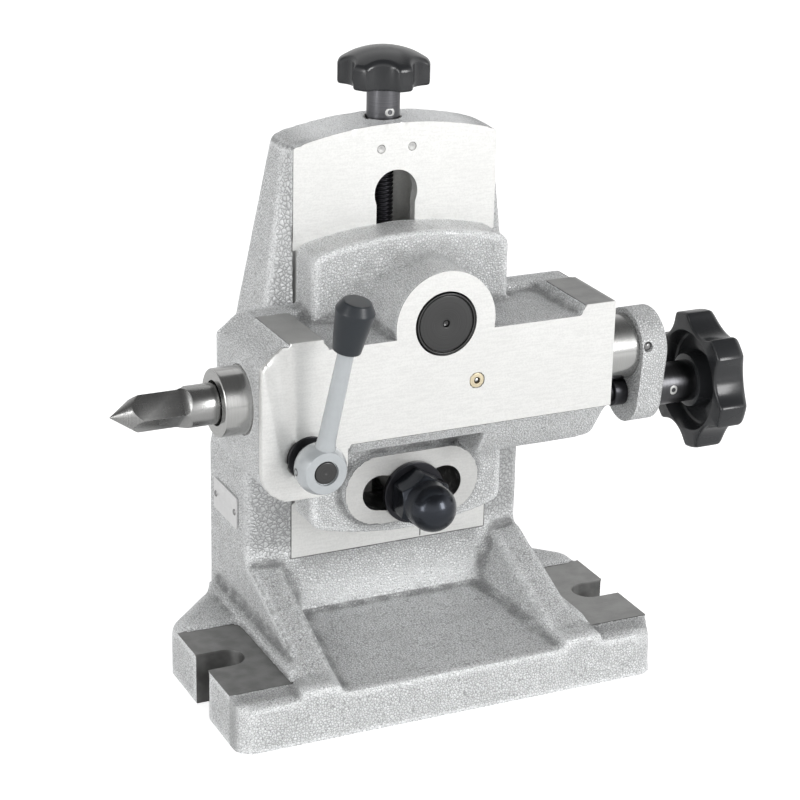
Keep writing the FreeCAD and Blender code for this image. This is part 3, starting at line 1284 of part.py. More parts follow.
def build_pieces():
    """Make every piece and return its document object."""
    side_axis = (0, 0, s.quill_height - s.feed_drop)
    side_start = s.bracket_left + s.bracket_width + s.loose_fit
    top_start = s.collar_top + s.loose_fit
    pieces = [
        base_casting(),
        name_plate(),
        elevating_screw(),
        knob_bush("top_knob_bush", "XZ", "V_Axis", (0, s.screw_plane, 0), s.top_bush_radius,
                  top_start, s.top_knob_bottom + s.knob_seat, s.top_pin_height),
        roll_pin("top_knob_pin", 0, s.screw_plane, s.top_pin_height,
                 s.top_bush_radius - s.running_fit),
        knob("top_knob", (0, s.screw_plane, s.top_knob_bottom), False, s.top_knob_radius,
             s.top_knob_rim, s.top_knob_dome, s.top_bush_radius, TOP_KNOB_TURN),
        slide_block(),
        pivot_stud(),
        clamp_t_bolt(),
        washer(),
        dome_nut(),
        head_casting(),
        oil_cup(),
        clamp_cotter("clamp_cotter_front", -s.head_front - s.cotter_proud, -s.cotter_gap,
                     s.clamp_bolt_radius + s.running_fit),
        clamp_cotter("clamp_cotter_rear", s.cotter_gap, s.cotter_length,
                     s.clamp_bolt_radius + s.running_fit),
        clamp_bolt(),
        lever_grip(),
        quill_sleeve(),
        centre(),
        quill_bracket(),
        bracket_set_screw(),
        feed_screw(),
        thrust_collar(),
        knob_bush("side_knob_bush", "XZ", "H_Axis", side_axis, s.side_bush_radius,
                  side_start, s.side_knob_left + s.knob_seat, s.side_pin_place),
        roll_pin("side_knob_pin", s.side_pin_place, 0, s.quill_height - s.feed_drop,
                 s.side_bush_radius - s.running_fit),
        knob("side_knob", (s.side_knob_left, 0, s.quill_height - s.feed_drop), True,
             s.side_knob_radius, s.side_knob_rim, s.side_knob_dome, s.side_bush_radius,
             SIDE_KNOB_TURN),
    ]
    objects = [piece.body for piece in pieces]
    objects += [retaining_pins(), plate_rivets(), oiler_ball(), lever_arm()]
    return objects


def check(objects):
    """Stop if any feature failed or any piece isn't a valid solid."""
    for item in doc.Objects:
        if "Invalid" in item.State or "Error" in item.State:
            raise RuntimeError(f"{item.Name} failed: {item.State}")
    for item in objects:
        if item.Shape.isNull() or not item.Shape.isValid() or not item.Shape.Solids:
            raise RuntimeError(f"{item.Label} isn't a valid solid")


parts = build_pieces()
doc.recompute()
check(parts)
os.makedirs("parts", exist_ok=True)
for part in parts:
    part.Shape.exportStep(f"parts/{part.Label}.step")
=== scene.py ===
"""Looks of a tailstock: castings, knobs, screws, quill, lever and the studio around them."""

import math

import bmesh
import bpy
import numpy as np
from bpy.props import FloatProperty, FloatVectorProperty, PointerProperty
from mathutils import Matrix, Vector, noise

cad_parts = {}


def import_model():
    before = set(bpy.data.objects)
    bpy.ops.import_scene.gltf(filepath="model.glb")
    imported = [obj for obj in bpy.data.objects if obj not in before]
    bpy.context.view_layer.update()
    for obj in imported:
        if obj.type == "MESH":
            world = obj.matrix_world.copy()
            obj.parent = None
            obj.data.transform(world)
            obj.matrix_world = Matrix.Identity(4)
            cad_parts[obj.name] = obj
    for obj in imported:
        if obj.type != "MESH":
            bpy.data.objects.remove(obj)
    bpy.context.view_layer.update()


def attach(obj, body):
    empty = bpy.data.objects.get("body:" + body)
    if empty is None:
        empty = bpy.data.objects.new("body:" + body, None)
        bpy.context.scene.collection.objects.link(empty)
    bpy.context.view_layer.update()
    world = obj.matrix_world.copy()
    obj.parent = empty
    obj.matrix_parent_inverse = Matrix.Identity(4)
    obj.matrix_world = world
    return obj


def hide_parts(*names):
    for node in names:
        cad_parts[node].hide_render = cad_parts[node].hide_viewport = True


bl_info = {
    "name": "Tailstock looks",
    "version": (1, 0, 0),
    "blender": (4, 5, 0),
    "location": "3D View > Sidebar > Tailstock",
    "description": "Builds the visible pieces of a tailstock around its CAD model",
    "category": "Add Mesh",
}

MM = 0.001
AXES = {"x": 0, "y": 1, "z": 2}
QUILL = (0.0, 0.0, 155.5)
FEED = (0.0, 0.0, 132.2)
PIVOT = (0.0, 0.0, 188.9)
CLAMP = (-67.3, 0.0, 133.3)
NUT = (0.0, 0.0, 94.0)
SCREW = (0.0, 46.2, 0.0)
OILER = (16.5, -26.8, 159.3)
HEAD_FRONT = -26.8
FACE_PLANE = 30.0


class TailstockSizes(bpy.types.PropertyGroup):
    """Sizes that a user would change."""

    cast_voxel: FloatProperty(
        name="Casting detail", description="Spacing of a casting's points, in millimetres",
        default=1.4, min=1.0, max=4.0)
    head_voxel: FloatProperty(
        name="Head detail", description="Spacing of the head's points, in millimetres",
        default=1.15, min=1.0, max=4.0)
    thread_pitch: FloatProperty(
        name="Thread pitch", description="Distance between two threads of a screw, in millimetres",
        default=2.0, min=1.0, max=4.0)
    grain: FloatProperty(
        name="Grain", description="Size of the casting paint's grain, in millimetres",
        default=1.3, min=0.5, max=4.0)


class TailstockColours(bpy.types.PropertyGroup):
    """Colours that a user would change."""

    paint: FloatVectorProperty(
        name="Casting paint", description="Colour of the rough castings", subtype="COLOR",
        default=(0.76, 0.77, 0.775), min=0, max=1)
    milled: FloatVectorProperty(
        name="Milled iron", description="Colour of the milled faces", subtype="COLOR",
        default=(0.76, 0.76, 0.745), min=0, max=1)
    knob: FloatVectorProperty(
        name="Knobs", description="Colour of the star knobs", subtype="COLOR",
        default=(0.02, 0.021, 0.023), min=0, max=1)
    lever: FloatVectorProperty(
        name="Lever", description="Colour of the lever's arm", subtype="COLOR",
        default=(0.45, 0.475, 0.49), min=0, max=1)


class Value:
    """Output of a shader node, which adds and multiplies like a number."""

    def __init__(self, shader, socket):
        self.shader = shader
        self.socket = socket

    def reckon(self, operation, first, second=None):
        """One Math node."""
        numbers = (first,) if second is None else (first, second)
        return self.shader.add(
            "ShaderNodeMath", {"operation": operation}, dict(enumerate(numbers)))

    def __add__(self, other):
        return self.reckon("ADD", self, other)

    def __radd__(self, other):
        return self.reckon("ADD", other, self)

    def __sub__(self, other):
        return self.reckon("SUBTRACT", self, other)

    def __rsub__(self, other):
        return self.reckon("SUBTRACT", other, self)

    def __mul__(self, other):
        return self.reckon("MULTIPLY", self, other)

    def __rmul__(self, other):
        return self.reckon("MULTIPLY", other, self)

    def __truediv__(self, other):
        return self.reckon("DIVIDE", self, other)

    def power(self, other):
        """This value raised to a power."""
        return self.reckon("POWER", self, other)

    def between(self, low, high):
        """0 below low, 1 above high and a smooth step between."""
        return self.shader.add(
            "ShaderNodeMapRange", {"interpolation_type": "SMOOTHSTEP"},
            {"Value": self, "From Min": low, "From Max": high})


class Nodes:
    """A node tree, and one method that adds any node to it."""

    def __init__(self, tree):
        self.tree = tree

    def plug(self, socket, value):
        """Links an output to a socket, or sets the socket's own value."""
        if isinstance(value, Value):
            self.tree.links.new(value.socket, socket)
        elif hasattr(value, "__len__") and len(value) == 3 and socket.type == "RGBA":
            socket.default_value = (*value, 1)
        else:
            socket.default_value = value

    def add(self, kind, settings=None, inputs=None, output=0):
        """Any node: its settings first, then its sockets."""
        node = self.tree.nodes.new(kind)
        for name, value in (settings or {}).items():
            setattr(node, name, value)
        for name, value in (inputs or {}).items():
            self.plug(node.inputs[name], value)
        return Value(self, node.outputs[output])


class Finish(Nodes):
    """A material and its node tree."""

    def __init__(self, name, **constants):
        self.material = bpy.data.materials.new(name)
        self.material.use_nodes = True
        super().__init__(self.material.node_tree)
        self.surface = self.tree.nodes["Principled BSDF"]
        self.set(**constants)

    def set(self, **values):
        """Sets or links sockets of the surface, with _ for a space in their names."""
        for name, value in values.items():
            self.plug(self.surface.inputs[name.replace("_", " ")], value)
        return self

    def place(self):
        """Object coordinates."""
        return self.add("ShaderNodeTexCoord", output="Object")

    def stretched(self, scale):
        """Object coordinates, scaled along each axis."""
        return self.add("ShaderNodeMapping", {}, {"Vector": self.place(), "Scale": scale})

    def noise(self, size, detail=3.0, roughness=0.5, vector=None):
        """Noise from 0 to 1 with features of that size in millimetres."""
        return self.add("ShaderNodeTexNoise", {}, {
            "Vector": vector or self.place(), "Scale": 1 / (size * MM), "Detail": detail,
            "Roughness": roughness}, "Fac")

    def net(self, size):
        """Distance to the borders of cells of that size in millimetres, warped a little."""
        warp = self.add("ShaderNodeTexNoise", {}, {
            "Vector": self.place(), "Scale": 0.7 / (size * MM), "Detail": 1.0}, "Color")
        warped = self.add("ShaderNodeVectorMath", {"operation": "MULTIPLY_ADD"}, {
            0: warp, 1: (size * MM * 0.9,) * 3, 2: self.place()})
        return self.add("ShaderNodeTexVoronoi", {"feature": "DISTANCE_TO_EDGE"}, {
            "Vector": warped, "Scale": 1 / (size * MM)}, "Distance")

    def blend(self, factor, first, second):
        """Mix of two numbers."""
        return self.add("ShaderNodeMix", {}, {0: factor, 2: first, 3: second})

    def axis(self, name):
        """One object coordinate, in millimetres."""
        return self.add("ShaderNodeSeparateXYZ", {}, {0: self.place()}, name.upper()) * 1000.0

    def mix(self, factor, first, second):
        """Mix of two colours."""
        return self.add("ShaderNodeMix", {"data_type": "RGBA"}, {
            0: factor, 6: first, 7: second}, 2)

    def attribute(self, name):
        """A number kept at each vertex."""
        return self.add("ShaderNodeAttribute", {"attribute_name": name}, {}, "Fac")

    def bump(self, height, depth, strength=1.0, normal=None):
        """Normal of a relief, height 0 to 1 being that depth in millimetres."""
        inputs = {"Height": height, "Distance": depth * MM, "Strength": strength}
        if normal is not None:
            inputs["Normal"] = normal
        return self.add("ShaderNodeBump", {}, inputs)


def shade(colour, share):
    """A colour made darker or lighter by a share."""
    return tuple(min(1.0, share * part) for part in colour)


def base_places(finish):
    """Where the base's paint is coarse, and where shade and light are painted on it: three values
    from 0 to 1.

    The limits are places on the base, in millimetres.
    """
    x, y, z = (finish.axis(name) for name in "XYZ")
    wide = x.reckon("ABSOLUTE", x)
    normal = finish.add("ShaderNodeTexCoord", output="Normal")
    up = finish.add("ShaderNodeSeparateXYZ", {}, {0: normal}, "Z")
    mottle = finish.noise(3.0).between(0.35, 0.6)
    bands = wide.between(49.0, 52.0) * z.between(54.0, 62.0) * y.between(42.0, 34.0)
    # Painted shade on upward sloping surfaces above the pocket floor, mottled.
    rib_shade = up.between(0.25, 0.5) * up.between(0.97, 0.85) * z.between(28.0, 31.0) * mottle
    # Painted shade on the concave slope in front of each foot pad.
    steps = wide.between(72.0, 78.0) * y.between(-44.5, -41.0) * y.between(-34.0, -36.5)
    front = wide.between(50.0, 46.0) * y.between(18.0, 21.0) * y.between(40.0, 34.0)
    # Painted light: the apron is lighter at its foot, fading upwards.
    foot_light = z.between(28.9, 29.6) * z.between(50.0, 31.0) * front
    # Painted shade on the apron under the milled face's lower edge.
    under = z.between(47.0, 56.0) * front
    # Painted light on the top of the column's crown.
    crown = z.between(262.0, 266.0) * y.between(66.0, 60.0)
    # Painted shade on the bands beside the column's face, heavier towards the bottom.
    beside_shade = bands * z.between(58.0, 66.0) * (z.between(200.0, 120.0) * 0.32 + 0.14)
    # The painted rib shade is heavier on the left.
    rib_shade *= x.between(20.0, -20.0) * 0.4 + 0.2
    return bands, beside_shade + rib_shade + steps * 0.5 + under * 0.4, foot_light * 0.7 + crown


def cast_paint(name, paint, milled, grain, lines, base=False):
    """Hammered casting paint that turns into milled iron where the vertex attribute says so.

    The lines between its cells are that strong. Hollows get painted shade and ridges painted
    highlights, and the base has coarse places and more painted shade and light.
    """
    finish = Finish(name)
    attribute = finish.attribute("milled")
    edge_noise = finish.noise(4.0, 4.0, 0.6)
    bare = (attribute + (edge_noise - 0.5) * 0.5).between(0.52, 0.66)
    cloud = finish.noise(24.0, 3.0)
    patches = finish.noise(9.0, 3.0)
    net = finish.net(grain)
    if base:
        coarse, painted_shade, painted_light = base_places(finish)
        net = finish.blend(coarse, net, finish.net(grain * 1.6))
    speckle = finish.noise(grain * 0.5, 2.0, 0.6)
    cell = finish.mix(patches.between(0.35, 0.65) * 0.6, paint, shade(paint, 0.84))
    inside = net.between(0.0, 0.17) * lines + speckle * 0.45 + (0.80 - lines)
    painted = finish.mix(inside, shade(paint, 0.36), cell)
    # Painted shade: paint in hollows turns darker, in noisy patches.
    hollow = finish.attribute("hollow")
    hollow_shade = hollow.between(0.03, 0.6) * patches.between(0.15, 0.65)
    painted = finish.mix(hollow_shade * 0.72, painted, shade(paint, 0.2))
    # Painted highlights: paint on ridges turns lighter.
    ridge_highlight = hollow.between(-0.12, -0.6) * speckle.between(0.35, 0.6)
    highlight_paint = shade(paint, 1.25)
    painted = finish.mix(ridge_highlight * 0.6, painted, highlight_paint)
    # Painted shade and painted light on the base's places.
    if base:
        painted = finish.mix(painted_shade, painted, shade(paint, 0.25))
        painted = finish.mix(painted_light * speckle.between(0.3, 0.5), painted, highlight_paint)
    streaks = finish.noise(1.0, 3.0, 0.6, finish.stretched((0.12, 1.0, 1.0)))
    speck = finish.noise(0.9, 2.0, 0.6)
    worn = shade(milled, 0.90)
    iron = finish.mix((streaks * 0.5 + speck * 0.5).between(0.36, 0.62), worn, milled)
    iron = finish.mix(cloud.between(0.45, 0.75) * 0.3, iron, worn)
    # Milled values below 1 give darker iron: painted shade on slot walls and on the column face's
    # edge strips, and darker iron on the pads and the head's top plates.
    bright = attribute.between(0.78, 1.0)
    dark_iron = finish.mix(patches.between(0.3, 0.7), shade(milled, 0.12), shade(milled, 0.22))
    iron = finish.mix(bright, dark_iron, iron)
    relief = net.between(0.0, 0.35) + speckle * 0.4 + patches * 0.8
    rough_normal = finish.bump(relief * (1.0 - bare), 0.35, 0.9)
    normal = finish.bump((streaks + speck) * bare, 0.02, 0.35, rough_normal)
    finish.set(
        Base_Color=finish.mix(bare, painted, iron),
        Roughness=bare * -0.06 + (0.40 + speckle * 0.12),
        Metallic=bare * 0.35 + 0.30,
        Normal=normal)
    return finish.material


def turned_steel(name, colour, roughness, axis, centre, ring=0.6, metallic=1.0):
    """Steel with fine rings round an axis, as a lathe leaves them."""
    finish = Finish(name, Metallic=metallic)
    squares = None
    for other in "xyz":
        if other != axis:
            part = finish.axis(other) - centre[AXES[other]]
            squares = part * part if squares is None else squares + part * part
    radius = squares.power(0.5)
    rings = finish.add("ShaderNodeTexNoise", {"noise_dimensions": "1D"}, {
        "W": radius / ring, "Scale": 1.0, "Detail": 3.0}, "Fac")
    along = finish.add("ShaderNodeTexNoise", {"noise_dimensions": "1D"}, {
        "W": finish.axis(axis) / ring, "Scale": 1.0, "Detail": 3.0}, "Fac")
    stain = finish.noise(7.0, 3.0)
    both = rings * 0.5 + along * 0.5
    finish.set(
        Base_Color=finish.mix(both.between(0.35, 0.65), shade(colour, 0.8), colour),
        Roughness=stain * 0.12 + (roughness - 0.06),
        Normal=finish.bump(both, 0.02, 0.5))
    return finish.material


def smooth_coat(
        name, colour, roughness, metallic=0.0, coat=0.0, ripple=0.02, size=3.0, shine=0.5):
    """Plastic, paint or polished metal with a slightly uneven surface."""
    finish = Finish(name, Metallic=metallic, Coat_Weight=coat, Specular_IOR_Level=shine)
    cloud = finish.noise(size, 3.0)
    dust = finish.noise(size * 0.15, 2.0)
    finish.set(
        Base_Color=finish.mix(cloud, shade(colour, 0.88), colour),
        Roughness=dust * 0.08 + (roughness - 0.04),
        Normal=finish.bump(cloud * 0.7 + dust * 0.3, ripple, 0.5))
    return finish.material


def finished(obj, material, body, node=None, sharp=35):
    """Gives a piece its material, its body and the CAD nodes it stands for."""
    obj.data.materials.clear()
    obj.data.materials.append(material)
    obj.data.shade_smooth()
    obj.data.set_sharp_from_angle(angle=math.radians(sharp))
    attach(obj, body)
    if node:
        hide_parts(node)
    return obj


def new_object(name, shape):
    """Object from a bmesh, with its doubles merged and its normals outwards."""
    bmesh.ops.remove_doubles(shape, verts=shape.verts, dist=2e-6)
    bmesh.ops.dissolve_degenerate(shape, edges=shape.edges, dist=1e-6)
    bmesh.ops.recalc_face_normals(shape, faces=shape.faces)
    mesh = bpy.data.meshes.new(name)
    shape.to_mesh(mesh)
    shape.free()
    obj = bpy.data.objects.new(name, mesh)
    bpy.context.scene.collection.objects.link(obj)
    return obj


def skin(name, tables):
    """Object of one or more surfaces, each through a table of points in millimetres."""
    shape = bmesh.new()
    for table in tables:
        rows, columns = table.shape[:2]
        grid = bmesh.ops.create_grid(
            shape, x_segments=columns - 1, y_segments=rows - 1, size=1.0)
        for vert, point in zip(grid["verts"], table.reshape(-1, 3) * MM):
            vert.co = point
    return new_object(name, shape)


def rounded(profile, segments=4):
    """Profile of (along, radius, bevel) corners, with every bevel drawn as a curve."""
    corners = [(*corner, 0.0)[:3] for corner in profile]
    points = []
    for index, (along, radius, bevel) in enumerate(corners):
        here = Vector((along, radius))
        if bevel <= 0 or index in (0, len(corners) - 1):
            points.append(here)
            continue
        before = Vector(corners[index - 1][:2]) - here
        after = Vector(corners[index + 1][:2]) - here
        start = here + before.normalized() * min(bevel, before.length / 2)
        end = here + after.normalized() * min(bevel, after.length / 2)
        for step in range(segments + 1):
            t = step / segments
            points.append(start * (1 - t) ** 2 + here * 2 * t * (1 - t) + end * t ** 2)
    return points


def frame_of(axis):
    """Rotation that turns +Z into an axis, given as a letter or as a matrix."""
    if isinstance(axis, Matrix):
        return np.array(axis)
    turns = {"z": Matrix.Identity(3), "x": Matrix(((0, 0, 1), (0, 1, 0), (-1, 0, 0))),
             "y": Matrix(((1, 0, 0), (0, 0, 1), (0, -1, 0)))}
    return np.array(turns[axis])


def ring_table(axis, centre, rows, steps=96):
    """Table of points: each row is (along, radius), the radius a number or one per angle."""
    angles = np.linspace(0, 2 * math.pi, steps + 1)
    table = np.zeros((len(rows), steps + 1, 3))
    for index, (along, radius) in enumerate(rows):
        table[index, :, 0] = radius * np.cos(angles)
        table[index, :, 1] = radius * np.sin(angles)
        table[index, :, 2] = along
    table[:, -1] = table[:, 0]
    return table @ frame_of(axis).T + np.array(centre)


def turned(name, axis, centre, *profiles, steps=96):
    """Object turned from one or more closed profiles of (along, radius, bevel)."""
    tables = []
    for profile in profiles:
        rows = [tuple(point) for point in rounded(profile)]
        tables.append(ring_table(axis, centre, rows, steps))
    return skin(name, tables)


def cad_copy(name, node, bevel=0.0, angle=40.0, segments=3):
    """Copy of a CAD node's mesh with its doubles merged and its edges bevelled."""
    shape = bmesh.new()
    shape.from_mesh(bpy.data.objects[node].data)
    bmesh.ops.remove_doubles(shape, verts=shape.verts, dist=1e-5)
    bmesh.ops.dissolve_limit(
        shape, angle_limit=math.radians(0.5), verts=shape.verts, edges=shape.edges)
    if bevel:
        sharp = [edge for edge in shape.edges
                 if len(edge.link_faces) == 2 and edge.calc_face_angle() > math.radians(angle)]
        bmesh.ops.bevel(
            shape, geom=sharp, offset=bevel * MM, segments=segments, profile=0.5,
            affect="EDGES", material=-1, clamp_overlap=True)
    return new_object(name, shape)


def hollows(mesh, rounds=24):
    """Depth of each vertex below its smoothed surroundings, in millimetres, less on ridges."""
    count = len(mesh.vertices)
    points = np.empty(count * 3)
    mesh.vertices.foreach_get("co", points)
    points = points.reshape(-1, 3) / MM
    normals = np.empty(count * 3)
    mesh.vertex_normals.foreach_get("vector", normals)
    edges = np.empty(len(mesh.edges) * 2, int)
    mesh.edges.foreach_get("vertices", edges)
    one, other = edges.reshape(-1, 2).T
    links = np.bincount(edges, minlength=count)
    smooth = points.copy()
    for _ in range(rounds):
        for axis in range(3):
            along = smooth[:, axis]
            total = np.bincount(one, along[other], count) + np.bincount(other, along[one], count)
            smooth[:, axis] = (along + total / links) / 2
    return np.einsum("ij,ij->i", smooth - points, normals.reshape(-1, 3))


def soft_casting(name, node, voxel, features, rounds, waviness, softer=()):
    """Casting with rounded rough edges, whose milled features stay true and crisp.

    A feature is (kind, axis, place, size, low corner, high corner, milled) in
    millimetres: a plane across an axis, a cylinder along it, or a box that stays as it is.
    A softer place is (low corner, high corner, more rounds of smoothing).
    """
    rough = cad_copy(name + "_rough", node)
    remesh = rough.modifiers.new("remesh", "REMESH")
    remesh.mode = "VOXEL"
    remesh.voxel_size = voxel * MM
    graph = bpy.context.evaluated_depsgraph_get()
    mesh = bpy.data.meshes.new_from_object(rough.evaluated_get(graph))
    bpy.data.objects.remove(rough)
    shape = bmesh.new()
    shape.from_mesh(mesh)
    bpy.data.meshes.remove(mesh)
    shape.verts.ensure_lookup_table()
    points = np.array([vert.co for vert in shape.verts]) / MM
    held = np.zeros(len(points), bool)
    kept = np.zeros(len(points), bool)
    bare = np.zeros(len(points))
    reach = voxel * 0.8
    for kind, axis, place, size, low, high, milled in features:
        low, high = np.array(low), np.array(high)
        inside = np.all((points > low - reach) & (points < high + reach), axis=1)
        along = AXES[axis]
        if kind == "keep":
            close = inside
            kept |= inside
        elif kind == "plane":
            close = inside & ~kept & (np.abs(points[:, along] - place) < reach)
            points[close, along] = place
        else:
            others = [index for index in range(3) if index != along]
            offset = points[:, others] - np.array(place)
            distance = np.linalg.norm(offset, axis=1)
            close = inside & (np.abs(distance - size) < reach)
            scale = (size / np.maximum(distance, 1e-6))[close, None]
            points[np.ix_(close, others)] = np.array(place) + offset[close] * scale
        held |= close
        if milled:
            bare[close] = np.maximum(bare[close], milled)
    for vert, point in zip(shape.verts, points * MM):
        vert.co = point
    free = [vert for vert, fixed in zip(shape.verts, held) if not fixed]
    for _ in range(rounds):
        bmesh.ops.smooth_vert(
            shape, verts=free, factor=0.5, use_axis_x=True, use_axis_y=True, use_axis_z=True)
    for low, high, more in softer:
        there = [vert for vert in free
                 if all(a <= c / MM <= b for a, c, b in zip(low, vert.co, high))]
        for _ in range(more):
            bmesh.ops.smooth_vert(
                shape, verts=there, factor=0.5, use_axis_x=True, use_axis_y=True,
                use_axis_z=True)
    shape.normal_update()
    for vert in free:
        wave = noise.noise(vert.co / (17 * MM)) * 0.7 + noise.noise(vert.co / (6 * MM)) * 0.3
        vert.co -= vert.normal * (0.5 + 0.5 * wave) * waviness * MM
    layer = shape.verts.layers.float.new("milled")
    for vert, amount in zip(shape.verts, bare):
        vert[layer] = amount
    mesh = bpy.data.meshes.new(name)
    shape.to_mesh(mesh)
    shape.free()
    layer = mesh.attributes.new("hollow", "FLOAT", "POINT")
    layer.data.foreach_set("value", hollows(mesh))
    obj = bpy.data.objects.new(name, mesh)
    bpy.context.scene.collection.objects.link(obj)
    return obj


def lobes(angles, radius, inset, turn):
    """Outline of a six-lobed star knob, moved inwards by an inset."""
    scoop = 0.466 * radius + inset
    centre = 1.262 * radius
    outer = radius - inset
    step = math.pi / 3
    phase = np.mod(angles - math.radians(turn) + step / 2, step) - step / 2
    under = scoop ** 2 - (centre * np.sin(phase)) ** 2
    hollow = np.where(under > 0, centre * np.cos(phase) - np.sqrt(np.maximum(under, 0)), 2 * outer)
    blend = 0.07 * radius
    mixing = np.clip(0.5 + 0.5 * (hollow - outer) / blend, 0, 1)
    return hollow * (1 - mixing) + outer * mixing - blend * mixing * (1 - mixing)


def star_knob(name, axis, centre, radius, rim, dome, bush, turn):
    """Star knob with a domed top, rounded lobes and a hollow back."""
    steps = 240
    angles = np.linspace(0, 2 * math.pi, steps + 1)
    hub = bush + radius / 12
    hollow = radius * 0.735
    depth = rim * 0.55
    edge = 0.09 * radius

    def crown(outline):
        return rim + dome * (1 - (outline / radius) ** 2)

    rows = [(5.2, bush), (0.0, bush), (0.0, hub - 0.5), (0.3, hub), (depth - 0.8, hub + depth / 6),
            (depth, hub + depth / 5 + 0.9), (depth, hollow - depth / 5 - 0.9),
            (depth - 0.8, hollow - depth / 5), (0.5, hollow - 0.2), (0.0, hollow + 0.3)]
    for step in range(5):
        turn_in = math.radians(90 * step / 4)
        inset = 1.4 * (1 - math.sin(turn_in))
        rows.append((1.4 * (1 - math.cos(turn_in)), lobes(angles, radius, inset, turn)))
    for step in range(7):
        turn_in = math.radians(90 * step / 6)
        outline = lobes(angles, radius, edge * (1 - math.cos(turn_in)), turn)
        rows.append((crown(outline) - edge * (1 - math.sin(turn_in)), outline))
    inner = lobes(angles, radius, edge, turn)
    for share in (0.93, 0.84, 0.72, 0.58, 0.42, 0.24, 0.0):
        rows.append((crown(inner * share), inner * share))
    return skin(name, [ring_table(axis, centre, rows, steps)])


def thread(name, axis, centre, start, stop, radius, depth, pitch, steps=72):
    """Screw thread with closed ends."""
    angles = np.linspace(0, 2 * math.pi, steps + 1)
    rows = [(start, 0.0), (start, radius - depth)]
    count = int((stop - start) / pitch * 10)
    for index in range(count + 1):
        along = start + (stop - start) * index / count
        phase = np.mod(along / pitch - angles / (2 * math.pi), 1)
        wave = np.clip(np.abs(phase - 0.5) * 3.2 - 0.3, 0, 1)
        ends = min(1.0, (along - start) / pitch, (stop - along) / pitch)
        rows.append((along, radius - depth + depth * wave * max(ends, 0)))
    rows += [(stop, radius - depth), (stop, 0.0)]
    return skin(name, [ring_table(axis, centre, rows, steps)])


def material_of(node, material):
    """Gives a CAD node that stays in view its material."""
    mesh = bpy.data.objects[node].data
    mesh.materials.clear()
    mesh.materials.append(material)


class BuildOperator(bpy.types.Operator):
    """Base of the operators that build one group of pieces."""

    bl_idname = "tailstock.base_operator"
    bl_label = "Base"
    bl_options = {"REGISTER", "UNDO"}

    def execute(self, context):
        """Builds the group."""
        self.build(context.scene.tailstock_sizes, context.scene.tailstock_colours)
        return {"FINISHED"}


